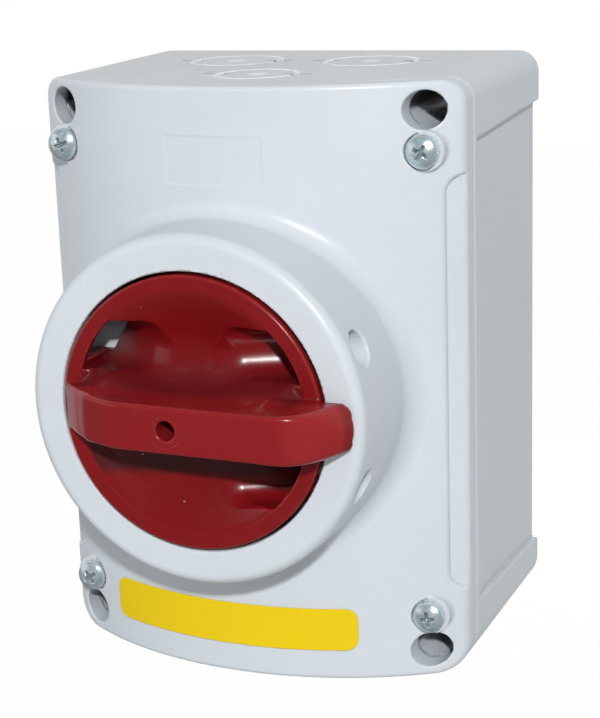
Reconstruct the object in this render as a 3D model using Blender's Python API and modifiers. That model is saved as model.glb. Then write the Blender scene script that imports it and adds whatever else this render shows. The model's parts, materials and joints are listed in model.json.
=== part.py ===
# Enclosed rotary switch-disconnector: bowed wall box, red handle and a three-pole switch inside.
# World frame: X to the right, Y into the wall, Z up, origin at the centre of the wall face.
# Shapes are drawn in a drawing frame (right, up, forward), where forward is the distance from the wall.

import math

import bmesh
import bpy
from mathutils import Matrix, Vector

MM = 0.001

# Fits
GAP = 0.3 * MM              # left between pieces that touch
RUN = 0.4 * MM              # radial gap of pieces that turn
PAST = 4.0 * MM             # how far a cutter runs past the face it opens
ROOT = 0.6 * MM             # how far a joined shape sinks into the one that carries it
WELD = 0.002 * MM           # points closer than this are one point

# Enclosure outside, depths measured forward from the wall face
BOX_WIDTH = 113.4 * MM
BOX_HEIGHT = 150.0 * MM
CORNER_RADIUS = 5.5 * MM
DRAFT = math.radians(1.0)
FRONT_APEX = 84.6 * MM      # bowed front, on its centre line
FRONT_FALL = 20.2 * MM      # from there to the sides
COVER_DEPTH_MIDDLE = 6.5 * MM
COVER_DEPTH_SIDE = 7.0 * MM

# Base walls and corner columns
BACK_WALL = 3.0 * MM
SIDE_WALL = 6.0 * MM
END_WALL = 5.0 * MM
COLUMN_WIDTH = 17.0 * MM
COLUMN_HEIGHT = 25.0 * MM
COLUMN_LEAN = 0.6 * MM      # of each column face between its two ends
PANEL_DEPTH = 1.6 * MM      # sunk panel on each side
PANEL_BAND_BACK = 13.0 * MM
PANEL_BAND_FRONT = 16.0 * MM
FLOOR_BOSS_RADIUS = 5.0 * MM
FLOOR_BOSS_HEIGHT = 4.0 * MM

# Entry knock-outs in the top and bottom walls: offset from the centre, depth, radius
KNOCKOUT_LARGE_RADIUS = 12.7 * MM
KNOCKOUT_LARGE_OFFSET = 19.0 * MM
KNOCKOUT_LARGE_DEPTH = 27.0 * MM
KNOCKOUT_SMALL_RADIUS = 10.2 * MM
KNOCKOUT_SMALL_DEPTH = 58.0 * MM
KNOCKOUT_GROOVE = 0.9 * MM
KNOCKOUT_SINK = 0.8 * MM

# Corner fixings
FIXING_INSET = 9.4 * MM             # from the side to both holes
HOLE_INSET = 7.5 * MM               # from the end to the wall fixing hole
HOLE_RADIUS = 4.6 * MM
HOLE_NECK_RADIUS = 3.2 * MM
SCREW_INSET = 17.0 * MM             # from the end to the cover screw
SCREW_SEAT_RISE = 0.5 * MM          # above the front, on the screw's own axis
SCREW_SEAT_GAP = 1.2 * MM           # round the head
SCREW_HEAD_RADIUS = 4.0 * MM
SCREW_HEAD_HEIGHT = 3.1 * MM
SCREW_SHANK_RADIUS = 1.9 * MM
SCREW_LENGTH = 18.0 * MM

# Cover
COVER_WALL = 3.0 * MM
COVER_SIDE_WALL = 4.2 * MM
FLUTE_WIDTH = 5.0 * MM              # sunk strip along each side of the front
FLUTE_SINK = 0.9 * MM
FLUTE_END = 27.0 * MM               # from the end of the box to the end of the strip
BOSS_RING = 8.7 * MM                # from the handle's recess to the outside
BOSS_RISE = 19.7 * MM
BOSS_WALL = 3.3 * MM
BOSS_EDGE = 2.6 * MM                # rounding of its outer edge
RECESS_DEPTH = 15.1 * MM
RECESS_FLOOR_WALL = 3.0 * MM
BUSH_LENGTH = 5.5 * MM
BUSH_WALL = 3.0 * MM
PADLOCK_RADIUS = 4.0 * MM
PADLOCK_HEIGHT = 16.5 * MM
PADLOCK_SETBACK = 7.9 * MM          # behind the front of the boss
LABEL_WIDTH = 68.0 * MM
LABEL_HEIGHT = 12.5 * MM
LABEL_RADIUS = 3.0 * MM
LABEL_THICKNESS = 0.5 * MM
LABEL_SHIFT = -3.0 * MM
LABEL_INSET = 13.5 * MM             # from the bottom of the box to the label's centre
GASKET_WIDTH = 1.6 * MM
GASKET_THICKNESS = 2.0 * MM

# Handle
HANDLE_RADIUS = 33.4 * MM
HANDLE_PROUD = 0.3 * MM             # of the front of the boss
HANDLE_GAP = 0.6 * MM               # round the disc and under it
HANDLE_RIM = 4.1 * MM
HANDLE_EDGE = 0.8 * MM
RIM_STEP = 0.5 * MM                 # from the rim down to the slope inside it
POCKET_FLOOR_WALL = 2.4 * MM
POCKET_SHOULDER = 0.75 * MM         # from the bar down into the pocket
POCKET_HIGH = 19.5 * MM
ROOF_FALL = 3.9 * MM                # of the slope from the rim to its lip
BAR_RISE = 14.8 * MM
BAR_HEIGHT = 12.0 * MM
BAR_LIFT = 0.2 * MM                 # of its overhanging end above the disc
BAR_INSET = 1.4 * MM                # short of the disc at the left
BAR_OVERHANG = 7.6 * MM             # past the disc at the right
BAR_END_LENGTH = 22.0 * MM
BAR_EDGE = 2.0 * MM
BAR_CORNER_ANGLE = math.radians(50.0)   # sharper edges of the bar are rounded
HUB_WALL = 4.2 * MM                 # beside the flats of the shaft
HUB_PAST_BUSH = 3.2 * MM
SEAL_SETBACK = 1.5 * MM             # behind the floor of the recess
SEAL_WIDTH = 1.6 * MM
SEAL_GROOVE = 1.0 * MM
CLIP_THICKNESS = 1.0 * MM
CLIP_GROOVE = 1.5 * MM
CLIP_RIM = 2.5 * MM                 # past the hub
CLIP_MOUTH = 0.7                    # half the mouth's width as a share of the clip's bore
SHAFT_SIZE = 6.0 * MM
SHAFT_IN_DISC = 8.9 * MM
HANDLE_SCREW_RADIUS = 1.8 * MM
HANDLE_SCREW_STAND = 10.5 * MM      # past the end of the shaft
HANDLE_SCREW_GRIP = 4.5 * MM

# Switch stack
POLES = 3
FOOT_THICKNESS = 3.0 * MM
FOOT_EAR = 10.0 * MM
DECK_SIZE = 48.0 * MM
DECK_THICKNESS = 10.6 * MM
DECK_FLOOR = 2.0 * MM
DECK_CAVITY_RADIUS = 17.0 * MM
ROTOR_RADIUS = 8.0 * MM
ROTOR_JOURNAL_RADIUS = 4.6 * MM
ROTOR_SQUARE_WALL = 2.2 * MM
STRIP_LEVEL = 5.0 * MM              # back of the fixed contact above its deck's back face
STRIP_WIDTH = 7.0 * MM
STRIP_THICKNESS = 1.5 * MM
STRIP_TIP = 10.0 * MM
BLADE_LENGTH = 30.0 * MM
BLADE_THICKNESS = 2.0 * MM
TERMINAL_PITCH = 14.0 * MM
LEDGE_WIDTH = 11.0 * MM
LEDGE_LENGTH = 12.0 * MM
TERMINAL_HEAD_RADIUS = 3.4 * MM
TERMINAL_HEAD_HEIGHT = 2.4 * MM
TERMINAL_SHANK_RADIUS = 1.6 * MM
BOLT_INSET = 4.0 * MM
BOLT_RADIUS = 1.5 * MM
BOLT_HEAD_RADIUS = 2.9 * MM
BOLT_HEAD_HEIGHT = 2.4 * MM
HEAD_SHOULDER = 0.45                # straight side of a pan head as a share of its height
RECESS_ARM = 0.55                   # of the head's radius
RECESS_SLOT = 0.13                  # of the head's radius
RECESS_TIP = 0.8                    # of the slot's width
RECESS_BOTTOM = 0.4                 # of the head's height
INDEX_THICKNESS = 12.0 * MM
INDEX_COVER_THICKNESS = 2.5 * MM
INDEX_WHEEL_RADIUS = 12.0 * MM
INDEX_WHEEL_WIDTH = 7.5 * MM
INDEX_NOTCH_RADIUS = 3.0 * MM
INDEX_NOTCH_DEPTH = 1.0 * MM
SPRING_THICKNESS = 0.8 * MM
SPRING_WIDTH = 6.5 * MM
SPRING_SPREAD = math.radians(22.0)

# Earth terminal on the base floor
EARTH_INSET = 17.0 * MM             # from the left side
EARTH_FROM_COLUMN = 14.0 * MM       # up from the corner column
EARTH_WIDTH = 10.0 * MM
EARTH_HEIGHT = 12.0 * MM
EARTH_DEPTH = 9.0 * MM
EARTH_WIRE_RADIUS = 2.5 * MM

# Facets
FINE = 48
MEDIUM = 24
COARSE = 12
BOW_STEPS = 16
DOME_STEPS = 3
CORNER_STEPS = 5
ROUND = 0.5                         # bevel profile of a quarter circle
BAR_END_STEPS = 8
SPRING_STEPS = 8
SHARP_ANGLE = math.radians(35.0)    # edges over this are shaded sharp

# Worked out from the sizes above
HALF_WIDTH = BOX_WIDTH / 2
HALF_HEIGHT = BOX_HEIGHT / 2
FRONT_EDGE = FRONT_APEX - FRONT_FALL
SPLIT_APEX = FRONT_APEX - COVER_DEPTH_MIDDLE
SPLIT_EDGE = FRONT_EDGE - COVER_DEPTH_SIDE
FIXING_X = HALF_WIDTH - FIXING_INSET
HOLE_UP = HALF_HEIGHT - HOLE_INSET
SCREW_UP = HALF_HEIGHT - SCREW_INSET
FRONT_RADIUS = (HALF_WIDTH ** 2 + FRONT_FALL ** 2) / (2 * FRONT_FALL)
FRONT_AT_FIXING = FRONT_APEX - FRONT_RADIUS + math.sqrt(FRONT_RADIUS ** 2 - FIXING_X ** 2)
SCREW_SEAT_DEPTH = FRONT_AT_FIXING + SCREW_SEAT_RISE
SCREW_SEAT_RADIUS = SCREW_HEAD_RADIUS + SCREW_SEAT_GAP
BOSS_FRONT = FRONT_APEX + BOSS_RISE
RECESS_FLOOR = BOSS_FRONT - RECESS_DEPTH
RECESS_RADIUS = HANDLE_RADIUS + HANDLE_GAP
BOSS_RADIUS = RECESS_RADIUS + BOSS_RING
PADLOCK_DEPTH = BOSS_FRONT - PADLOCK_SETBACK
HANDLE_FRONT = BOSS_FRONT + HANDLE_PROUD
HANDLE_BACK = RECESS_FLOOR + HANDLE_GAP
POCKET_FLOOR = HANDLE_BACK + POCKET_FLOOR_WALL
POCKET_LOW = BAR_HEIGHT / 2 + POCKET_SHOULDER
ROOF_LIP_DEPTH = HANDLE_FRONT - ROOF_FALL
BAR_FRONT = HANDLE_FRONT + BAR_RISE
BAR_BASE = HANDLE_FRONT + BAR_LIFT
BAR_LEFT = BAR_INSET - HANDLE_RADIUS
BAR_RIGHT = HANDLE_RADIUS + BAR_OVERHANG
SEAL_DEPTH = RECESS_FLOOR - SEAL_SETBACK
SHAFT_SOCKET = SHAFT_SIZE / 2 + GAP
SHAFT_FRONT = HANDLE_BACK + SHAFT_IN_DISC
HUB_RADIUS = SHAFT_SOCKET + HUB_WALL
ROTOR_SQUARE = 2 * (SHAFT_SOCKET + ROTOR_SQUARE_WALL)
HANDLE_SCREW_FRONT = SHAFT_FRONT + HANDLE_SCREW_STAND
CLIP_RADIUS = HUB_RADIUS + CLIP_RIM
BUSH_BACK = RECESS_FLOOR - BUSH_LENGTH
HUB_BACK = BUSH_BACK - HUB_PAST_BUSH
CLIP_FRONT = BUSH_BACK - 2 * GAP
RIM_RADIUS = HANDLE_RADIUS - HANDLE_RIM
FLOOR_BOSS_TOP = BACK_WALL + FLOOR_BOSS_HEIGHT
FOOT_BACK = FLOOR_BOSS_TOP + GAP
FOOT_FRONT = FOOT_BACK + FOOT_THICKNESS
DECK_PITCH = DECK_THICKNESS + GAP
DECK_HALF = DECK_SIZE / 2
EAR_X = DECK_HALF + FOOT_EAR / 2
INDEX_BACK = FOOT_FRONT + GAP + POLES * DECK_PITCH
INDEX_FRONT = INDEX_BACK + INDEX_THICKNESS
INDEX_COVER_BACK = INDEX_FRONT + GAP
INDEX_COVER_FRONT = INDEX_COVER_BACK + INDEX_COVER_THICKNESS
BOLT_X = DECK_HALF - BOLT_INSET
BLADE_LEVEL = STRIP_LEVEL - GAP - BLADE_THICKNESS
SHAFT_BACK = INDEX_BACK - DECK_PITCH + STRIP_LEVEL + DECK_FLOOR
STRIP_END = DECK_HALF + LEDGE_LENGTH - GAP
TERMINAL_UP = DECK_HALF + LEDGE_LENGTH / 2
EARTH_PLACE = (EARTH_INSET - HALF_WIDTH, COLUMN_HEIGHT + EARTH_FROM_COLUMN - HALF_HEIGHT)
EARTH_BACK = FLOOR_BOSS_TOP + GAP
EARTH_FRONT = EARTH_BACK + EARTH_DEPTH

# Turns the drawing frame into the world frame
FACING = Matrix.Rotation(math.radians(90.0), 4, "X")
# Outlines drawn in plan (right, forward) and in side view (forward, up)
PLAN = Matrix(((1, 0, 0, 0), (0, 0, -1, 0), (0, 1, 0, 0), (0, 0, 0, 1)))
SIDE = Matrix(((0, 0, -1, 0), (0, 1, 0, 0), (1, 0, 0, 0), (0, 0, 0, 1)))
# Turned shapes and rods whose axis is level or upright in the drawing frame
ALONG_X = Matrix.Rotation(math.radians(90.0), 4, "Y")
ALONG_UP = Matrix.Rotation(math.radians(-90.0), 4, "X")


# Scene set-up
for old in list(bpy.data.objects):
    bpy.data.objects.remove(old)


def new_collection(name):
    collection = bpy.data.collections.new(name)
    bpy.context.scene.collection.children.link(collection)
    return collection


parts = new_collection("switch_disconnector")
cutters = new_collection("cutters")


def finish(name, colour, roughness, metallic=0.0):
    material = bpy.data.materials.new(name)
    material.use_nodes = True
    shader = material.node_tree.nodes["Principled BSDF"]
    shader.inputs["Base Color"].default_value = (*colour, 1.0)
    shader.inputs["Roughness"].default_value = roughness
    shader.inputs["Metallic"].default_value = metallic
    return material


GREY_PLASTIC = finish("grey_plastic", (0.66, 0.71, 0.75), 0.38)
RED_PLASTIC = finish("red_plastic", (0.30, 0.012, 0.015), 0.22)
YELLOW_PLASTIC = finish("yellow_plastic", (0.83, 0.60, 0.01), 0.45)
BLACK_PLASTIC = finish("black_plastic", (0.02, 0.02, 0.022), 0.5)
ROTOR_PLASTIC = finish("rotor_plastic", (0.55, 0.53, 0.48), 0.5)
DARK_RUBBER = finish("dark_rubber", (0.03, 0.03, 0.03), 0.8)
ZINC_STEEL = finish("zinc_steel", (0.62, 0.66, 0.68), 0.28, 1.0)
SPRING_STEEL = finish("spring_steel", (0.45, 0.45, 0.46), 0.3, 1.0)
COPPER_ALLOY = finish("copper_alloy", (0.75, 0.45, 0.25), 0.3, 1.0)
BRASS = finish("brass", (0.72, 0.55, 0.22), 0.32, 1.0)


# Building blocks
def object_from(name, bm):
    mesh = bpy.data.meshes.new(name)
    bm.to_mesh(mesh)
    bm.free()
    made = bpy.data.objects.new(name, mesh)
    bpy.context.scene.collection.objects.link(made)
    made.matrix_world = FACING
    return made


def block(name, low, high):
    bm = bmesh.new()
    bmesh.ops.create_cube(bm, size=1.0)
    size = Vector(high) - Vector(low)
    middle = (Vector(high) + Vector(low)) / 2
    bmesh.ops.transform(bm, matrix=Matrix.LocRotScale(middle, None, size), verts=bm.verts)
    return object_from(name, bm)


def rod(name, radius, back, front, centre=(0.0, 0.0), segments=MEDIUM):
    bm = bmesh.new()
    place = Matrix.Translation((centre[0], centre[1], (back + front) / 2))
    bmesh.ops.create_cone(bm, cap_ends=True, segments=segments, radius1=radius, radius2=radius,
                          depth=front - back, matrix=place)
    return object_from(name, bm)


def rod_through(name, radius, length, middle, direction, segments=MEDIUM):
    bm = bmesh.new()
    place = Matrix.Translation(middle) @ direction
    bmesh.ops.create_cone(bm, cap_ends=True, segments=segments, radius1=radius, radius2=radius,
                          depth=length, matrix=place)
    return object_from(name, bm)


def evaluated_mesh(source):
    bpy.context.view_layer.update()
    depsgraph = bpy.context.evaluated_depsgraph_get()
    mesh = bpy.data.meshes.new_from_object(source.evaluated_get(depsgraph))
    bm = bmesh.new()
    bm.from_mesh(mesh)
    bpy.data.meshes.remove(mesh)
    bmesh.ops.remove_doubles(bm, verts=bm.verts, dist=WELD)
    bmesh.ops.recalc_face_normals(bm, faces=bm.faces)
    return bm


def prism(name, outlines, back, front, view=None):
    curve = bpy.data.curves.new(name, "CURVE")
    curve.dimensions = "2D"
    curve.fill_mode = "BOTH"
    curve.extrude = (front - back) / 2
    for outline in outlines:
        spline = curve.splines.new("POLY")
        spline.points.add(len(outline) - 1)
        spline.use_cyclic_u = True
        for point, (across, along) in zip(spline.points, outline):
            point.co = (across, along, 0.0, 1.0)
    drawn = bpy.data.objects.new(name, curve)
    bpy.context.scene.collection.objects.link(drawn)
    bm = evaluated_mesh(drawn)
    bpy.data.objects.remove(drawn)
    lift = Matrix.Translation((0.0, 0.0, (back + front) / 2))
    bmesh.ops.transform(bm, matrix=(view or Matrix()) @ lift, verts=bm.verts)
    return object_from(name, bm)


def turned(name, profile, segments=MEDIUM, ring=False):
    # The profile lists (radius, forward) down the outer side, from the front to the back.
    # A ring's profile then comes back up its inner side to where it started.
    bm = bmesh.new()
    points = [bm.verts.new((radius, 0.0, forward)) for radius, forward in profile]
    following = points[1:] + points[:1] if ring else points[1:]
    for first, second in zip(points, following):
        bm.edges.new((first, second))
    drawn = object_from(name, bm)
    screw = drawn.modifiers.new("Turn", "SCREW")
    screw.axis = "Z"
    screw.steps = segments
    screw.render_steps = segments
    screw.use_merge_vertices = True
    screw.merge_threshold = WELD
    bm = evaluated_mesh(drawn)
    bpy.data.objects.remove(drawn)
    return object_from(name, bm)


def stow(tool):
    tool.hide_render = True
    tool.display_type = "WIRE"
    move(tool, cutters)


def move(made, collection):
    for holder in list(made.users_collection):
        holder.objects.unlink(made)
    collection.objects.link(made)


def combine(target, tool, operation):
    modifier = target.modifiers.new(tool.name, "BOOLEAN")
    modifier.operation = operation
    modifier.solver = "EXACT"
    modifier.object = tool
    stow(tool)


def cut(target, tool):
    combine(target, tool, "DIFFERENCE")


def join(target, tool):
    combine(target, tool, "UNION")


def keep_common(target, tool):
    combine(target, tool, "INTERSECT")


def part(made, material, carrier=None):
    move(made, parts)
    made.data.materials.append(material)
    made.data.shade_smooth()
    made.data.set_sharp_from_angle(angle=SHARP_ANGLE)
    if carrier:
        made.parent = carrier
        made.matrix_parent_inverse = carrier.matrix_world.inverted()
    return made


# Outlines
def arc(centre, across, along, start, end, steps):
    points = []
    for step in range(steps + 1):
        angle = start + (end - start) * step / steps
        points.append((centre[0] + across * math.cos(angle), centre[1] + along * math.sin(angle)))
    return points


def circle(radius, centre=(0.0, 0.0), segments=MEDIUM):
    return arc(centre, radius, radius, 0.0, 2 * math.pi, segments)[:-1]


def rectangle(half_width, half_height, centre=(0.0, 0.0)):
    corners = ((1, 1), (-1, 1), (-1, -1), (1, -1))
    return [(centre[0] + half_width * side, centre[1] + half_height * end) for side, end in corners]


def rounded_rectangle(half_width, half_height, radius, centre):
    points = []
    for corner, (side, end) in enumerate(((1, 1), (-1, 1), (-1, -1), (1, -1))):
        middle = (centre[0] + side * (half_width - radius), centre[1] + end * (half_height - radius))
        start = corner * math.pi / 2
        points += arc(middle, radius, radius, start, start + math.pi / 2, CORNER_STEPS)
    return points


def cavity_outline(grow=0.0):
    # Rectangle with its four corners left for the fixing columns.
    wide = HALF_WIDTH - SIDE_WALL + grow
    tall = HALF_HEIGHT - END_WALL + grow
    column_x = HALF_WIDTH - COLUMN_WIDTH + grow
    column_up = HALF_HEIGHT - COLUMN_HEIGHT + grow
    quarter = [(wide, column_up - COLUMN_LEAN), (column_x, column_up), (column_x - COLUMN_LEAN, tall)]
    top = quarter + [(-across, up) for across, up in quarter[::-1]]
    return top + [(across, -up) for across, up in top[::-1]]


def bow(apex, edge):
    # Arc in plan through the apex on the centre line and the edge depth at both sides.
    sagitta = apex - edge
    radius = (HALF_WIDTH ** 2 + sagitta ** 2) / (2 * sagitta)
    reach = HALF_WIDTH + PAST
    points = []
    for step in range(BOW_STEPS + 1):
        across = reach * (2 * step / BOW_STEPS - 1)
        points.append((across, apex - radius + math.sqrt(radius ** 2 - across ** 2)))
    return points


def bowed_slab(name, back, front):
    return prism(name, [back + front[::-1]], -HALF_HEIGHT - PAST, HALF_HEIGHT + PAST, PLAN)


def shifted(points, forward):
    return [(across, along + forward) for across, along in points]


def flat_back(points, depth):
    return [(across, depth) for across, along in points]


FRONT_BOW = bow(FRONT_APEX, FRONT_EDGE)
SPLIT_BOW = bow(SPLIT_APEX, SPLIT_EDGE)
COVER_INNER_BOW = bow(FRONT_APEX - COVER_WALL, FRONT_EDGE - COVER_SIDE_WALL)


def drafted_block(name, back, front):
    # Rounded box whose four sides lean in towards the front.
    made = bmesh.new()
    bmesh.ops.create_cube(made, size=1.0)
    size = Vector((BOX_WIDTH, BOX_HEIGHT, front - back))
    middle = Vector((0.0, 0.0, (back + front) / 2))
    bmesh.ops.transform(made, matrix=Matrix.LocRotScale(middle, None, size), verts=made.verts)
    upright = [edge for edge in made.edges if abs((edge.verts[0].co - edge.verts[1].co).z) > size.z / 2]
    bmesh.ops.bevel(made, geom=upright, offset=CORNER_RADIUS, segments=CORNER_STEPS, profile=ROUND,
                    affect="EDGES")
    for vert in made.verts:
        lean = vert.co.z * math.tan(DRAFT)
        vert.co.x *= (HALF_WIDTH - lean) / HALF_WIDTH
        vert.co.y *= (HALF_HEIGHT - lean) / HALF_HEIGHT
    return object_from(name, made)


def corners(x, up):
    return [(-x, up), (x, up), (-x, -up), (x, -up)]


def end_height(depth):
    return HALF_HEIGHT - depth * math.tan(DRAFT)


# Base box
def make_base():
    base = drafted_block("base_box", 0.0, FRONT_APEX)
    keep_common(base, bowed_slab("base_trim", flat_back(SPLIT_BOW, -PAST), SPLIT_BOW))
    cut(base, prism("base_cavity", [cavity_outline()], BACK_WALL, FRONT_APEX + PAST))
    seat = prism("gasket_seat", [cavity_outline(GASKET_WIDTH + GAP)], BACK_WALL, FRONT_APEX + PAST)
    seat_back = shifted(SPLIT_BOW, -GASKET_THICKNESS - GAP)
    keep_common(seat, bowed_slab("gasket_seat_trim", seat_back, shifted(SPLIT_BOW, PAST)))
    cut(base, seat)
    for side in (-1, 1):
        cut(base, side_panel(side))
    for end in (-1, 1):
        for number, (offset, depth, radius) in enumerate(knockouts()):
            cut(base, knockout(f"knockout_{number}_{end}", offset, depth, radius, end))
    for number, (x, up) in enumerate(floor_bosses()):
        join(base, rod(f"floor_boss_{number}", FLOOR_BOSS_RADIUS, BACK_WALL - ROOT, FLOOR_BOSS_TOP, (x, up)))
        pilot = TERMINAL_SHANK_RADIUS + GAP
        front = FLOOR_BOSS_TOP + PAST
        cut(base, rod(f"floor_pilot_{number}", pilot, BACK_WALL + GAP, front, (x, up), COARSE))
    for number, (x, up) in enumerate(corners(FIXING_X, HOLE_UP)):
        cut(base, rod(f"wall_hole_{number}", HOLE_RADIUS, BACK_WALL, FRONT_APEX, (x, up)))
        cut(base, rod(f"wall_neck_{number}", HOLE_NECK_RADIUS, -PAST, BACK_WALL + PAST, (x, up)))
    pilot_back = SCREW_SEAT_DEPTH - SCREW_LENGTH - GAP
    for number, (x, up) in enumerate(corners(FIXING_X, SCREW_UP)):
        pilot = SCREW_SHANK_RADIUS + GAP
        cut(base, rod(f"screw_pilot_{number}", pilot, pilot_back, FRONT_APEX, (x, up), COARSE))
    part(base, GREY_PLASTIC)


def side_panel(side):
    back_up = HALF_HEIGHT - PANEL_BAND_BACK
    front_up = HALF_HEIGHT - PANEL_BAND_FRONT
    outline = [(-PAST, back_up), (SPLIT_EDGE - PANEL_DEPTH, front_up),
               (SPLIT_EDGE - PANEL_DEPTH, -front_up), (-PAST, -back_up)]
    panel = prism(f"side_panel_{side}", [outline], -PAST, PAST, SIDE)
    lean = Matrix.Rotation(-side * DRAFT, 4, "Y")
    panel.data.transform(Matrix.Translation((side * (HALF_WIDTH - PANEL_DEPTH + PAST), 0.0, 0.0)) @ lean)
    return panel


def knockouts():
    return [(-KNOCKOUT_LARGE_OFFSET, KNOCKOUT_LARGE_DEPTH, KNOCKOUT_LARGE_RADIUS),
            (KNOCKOUT_LARGE_OFFSET, KNOCKOUT_LARGE_DEPTH, KNOCKOUT_LARGE_RADIUS),
            (0.0, KNOCKOUT_SMALL_DEPTH, KNOCKOUT_SMALL_RADIUS)]


def knockout(name, offset, depth, radius, end):
    rings = [circle(radius), circle(radius - KNOCKOUT_GROOVE)]
    groove = prism(name, rings, -KNOCKOUT_SINK, PAST, ALONG_UP)
    flip = Matrix.Rotation(0.0 if end > 0 else math.pi, 4, "Z")
    groove.data.transform(Matrix.Translation((offset, end * end_height(depth), depth)) @ flip)
    return groove


def floor_bosses():
    return [(-EAR_X, 0.0), (EAR_X, 0.0), EARTH_PLACE]


# Cover, gasket and label
def make_cover():
    cover = drafted_block("front_cover", 0.0, FRONT_APEX + PAST)
    keep_common(cover, bowed_slab("cover_trim", shifted(SPLIT_BOW, GAP), FRONT_BOW))
    hollow = prism("cover_hollow", [cavity_outline()], 0.0, FRONT_APEX + PAST)
    keep_common(hollow, bowed_slab("cover_hollow_trim", flat_back(COVER_INNER_BOW, PAST), COVER_INNER_BOW))
    cut(cover, hollow)
    for side in (-1, 1):
        cut(cover, flute(side))
    add_boss(cover)
    for number, (x, up) in enumerate(corners(FIXING_X, SCREW_UP)):
        seat = (x, up)
        join(cover, screw_boss(number, seat))
        cut(cover, rod(f"screw_pocket_{number}", SCREW_SEAT_RADIUS, SCREW_SEAT_DEPTH, FRONT_APEX, seat))
        cut(cover, rod(f"screw_hole_{number}", SCREW_SHANK_RADIUS + GAP, 0.0, FRONT_APEX, seat, COARSE))
    for number, (x, up) in enumerate(corners(FIXING_X, HOLE_UP)):
        cut(cover, rod(f"cover_wall_hole_{number}", HOLE_RADIUS, 0.0, FRONT_APEX, (x, up)))
    part(cover, GREY_PLASTIC)


def screw_boss(number, seat):
    # Stands on the sloping front and reaches down into the cover's own thickness.
    front = SCREW_SEAT_DEPTH + ROOT
    boss = rod(f"screw_boss_{number}", SCREW_SEAT_RADIUS - GAP, 0.0, front, seat)
    inside = shifted(SPLIT_BOW, GAP + ROOT)
    keep_common(boss, bowed_slab(f"screw_boss_trim_{number}", inside, shifted(FRONT_BOW, FRONT_APEX)))
    return boss


def flute(side):
    inner = side * (HALF_WIDTH - FLUTE_WIDTH)
    outer = side * (HALF_WIDTH + PAST / 2)
    end = HALF_HEIGHT - FLUTE_END
    strip = block(f"flute_{side}", (min(inner, outer), -end, 0.0), (max(inner, outer), end, FRONT_APEX))
    floor = shifted(FRONT_BOW, -FLUTE_SINK)
    keep_common(strip, bowed_slab(f"flute_trim_{side}", floor, shifted(FRONT_BOW, PAST)))
    return strip


def add_boss(cover):
    inside = BOSS_RADIUS - BOSS_WALL
    cut(cover, rod("boss_opening", inside + BOSS_WALL / 2, 0.0, FRONT_APEX + PAST, segments=FINE))
    floor_back = RECESS_FLOOR - RECESS_FLOOR_WALL
    bush_bore = HUB_RADIUS + RUN
    bush = bush_bore + BUSH_WALL
    edge_centre = (BOSS_RADIUS - BOSS_EDGE, BOSS_FRONT - BOSS_EDGE)
    edge = arc(edge_centre, BOSS_EDGE, BOSS_EDGE, math.pi / 2, 0.0, DOME_STEPS)
    profile = [(RECESS_RADIUS, BOSS_FRONT), *edge, (BOSS_RADIUS, FRONT_EDGE), (inside, FRONT_EDGE),
               (inside, floor_back), (bush, floor_back), (bush, BUSH_BACK), (bush_bore, BUSH_BACK),
               (bush_bore, RECESS_FLOOR), (RECESS_RADIUS, RECESS_FLOOR)]
    join(cover, turned("boss", profile, FINE, ring=True))
    for end in (-1, 1):
        middle = (0.0, end * PADLOCK_HEIGHT, PADLOCK_DEPTH)
        cut(cover, rod_through(f"padlock_hole_{end}", PADLOCK_RADIUS, BOX_WIDTH, middle, ALONG_X))


def make_gasket():
    gasket = prism("cover_gasket", [cavity_outline(GASKET_WIDTH), cavity_outline()], BACK_WALL, FRONT_APEX)
    keep_common(gasket, bowed_slab("gasket_trim", shifted(SPLIT_BOW, -GASKET_THICKNESS), SPLIT_BOW))
    part(gasket, DARK_RUBBER)


def make_label():
    centre = (LABEL_SHIFT, -HALF_HEIGHT + LABEL_INSET)
    outline = rounded_rectangle(LABEL_WIDTH / 2, LABEL_HEIGHT / 2, LABEL_RADIUS, centre)
    label = prism("label_plate", [outline], FRONT_EDGE, FRONT_APEX + PAST)
    back = shifted(FRONT_BOW, GAP)
    keep_common(label, bowed_slab("label_trim", back, shifted(back, LABEL_THICKNESS)))
    part(label, YELLOW_PLASTIC)


# Fasteners
def pan_screw(name, head_radius, head_height, shank_radius, length, segments=COARSE):
    # Domed head with its underside at forward zero and the shank behind it.
    shoulder = head_height * HEAD_SHOULDER
    dome = arc((0.0, shoulder), head_radius, head_height - shoulder, math.pi / 2, 0.0, DOME_STEPS)
    dome[0] = (0.0, head_height)
    shank = [(head_radius, 0.0), (shank_radius, 0.0), (shank_radius, -length), (0.0, -length)]
    profile = dome + shank
    screw = turned(name, profile, segments)
    arm = head_radius * RECESS_ARM
    slot = head_radius * RECESS_SLOT
    floor = head_height * RECESS_BOTTOM
    cut(screw, prism(f"{name}_recess", [cross(arm, slot)], floor, head_height + PAST))
    return screw


def cross(arm, slot):
    # Four arms that narrow towards their ends.
    tip = slot * RECESS_TIP
    points = []
    for turn in range(4):
        angle = turn * math.pi / 2
        for across, along in ((slot, slot), (tip, arm), (-tip, arm)):
            points.append((across * math.cos(angle) - along * math.sin(angle),
                           across * math.sin(angle) + along * math.cos(angle)))
    return points


def screw_set(names, places, head, shank_radius, length, material):
    # Each screw and the cutter of its head recess stand at their own place.
    for name, (x, up, forward) in zip(names, places):
        screw = pan_screw(name, head[0], head[1], shank_radius, length)
        stand = Matrix.Translation(FACING @ Vector((x, up, forward))) @ FACING
        for modifier in screw.modifiers:
            modifier.object.matrix_world = stand
        screw.matrix_world = stand
        part(screw, material)


def make_cover_screws():
    names = [f"cover_screw_{number + 1}" for number in range(4)]
    places = [(x, up, SCREW_SEAT_DEPTH + GAP) for x, up in corners(FIXING_X, SCREW_UP)]
    head = (SCREW_HEAD_RADIUS, SCREW_HEAD_HEIGHT)
    screw_set(names, places, head, SCREW_SHANK_RADIUS, SCREW_LENGTH, ZINC_STEEL)


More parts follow.
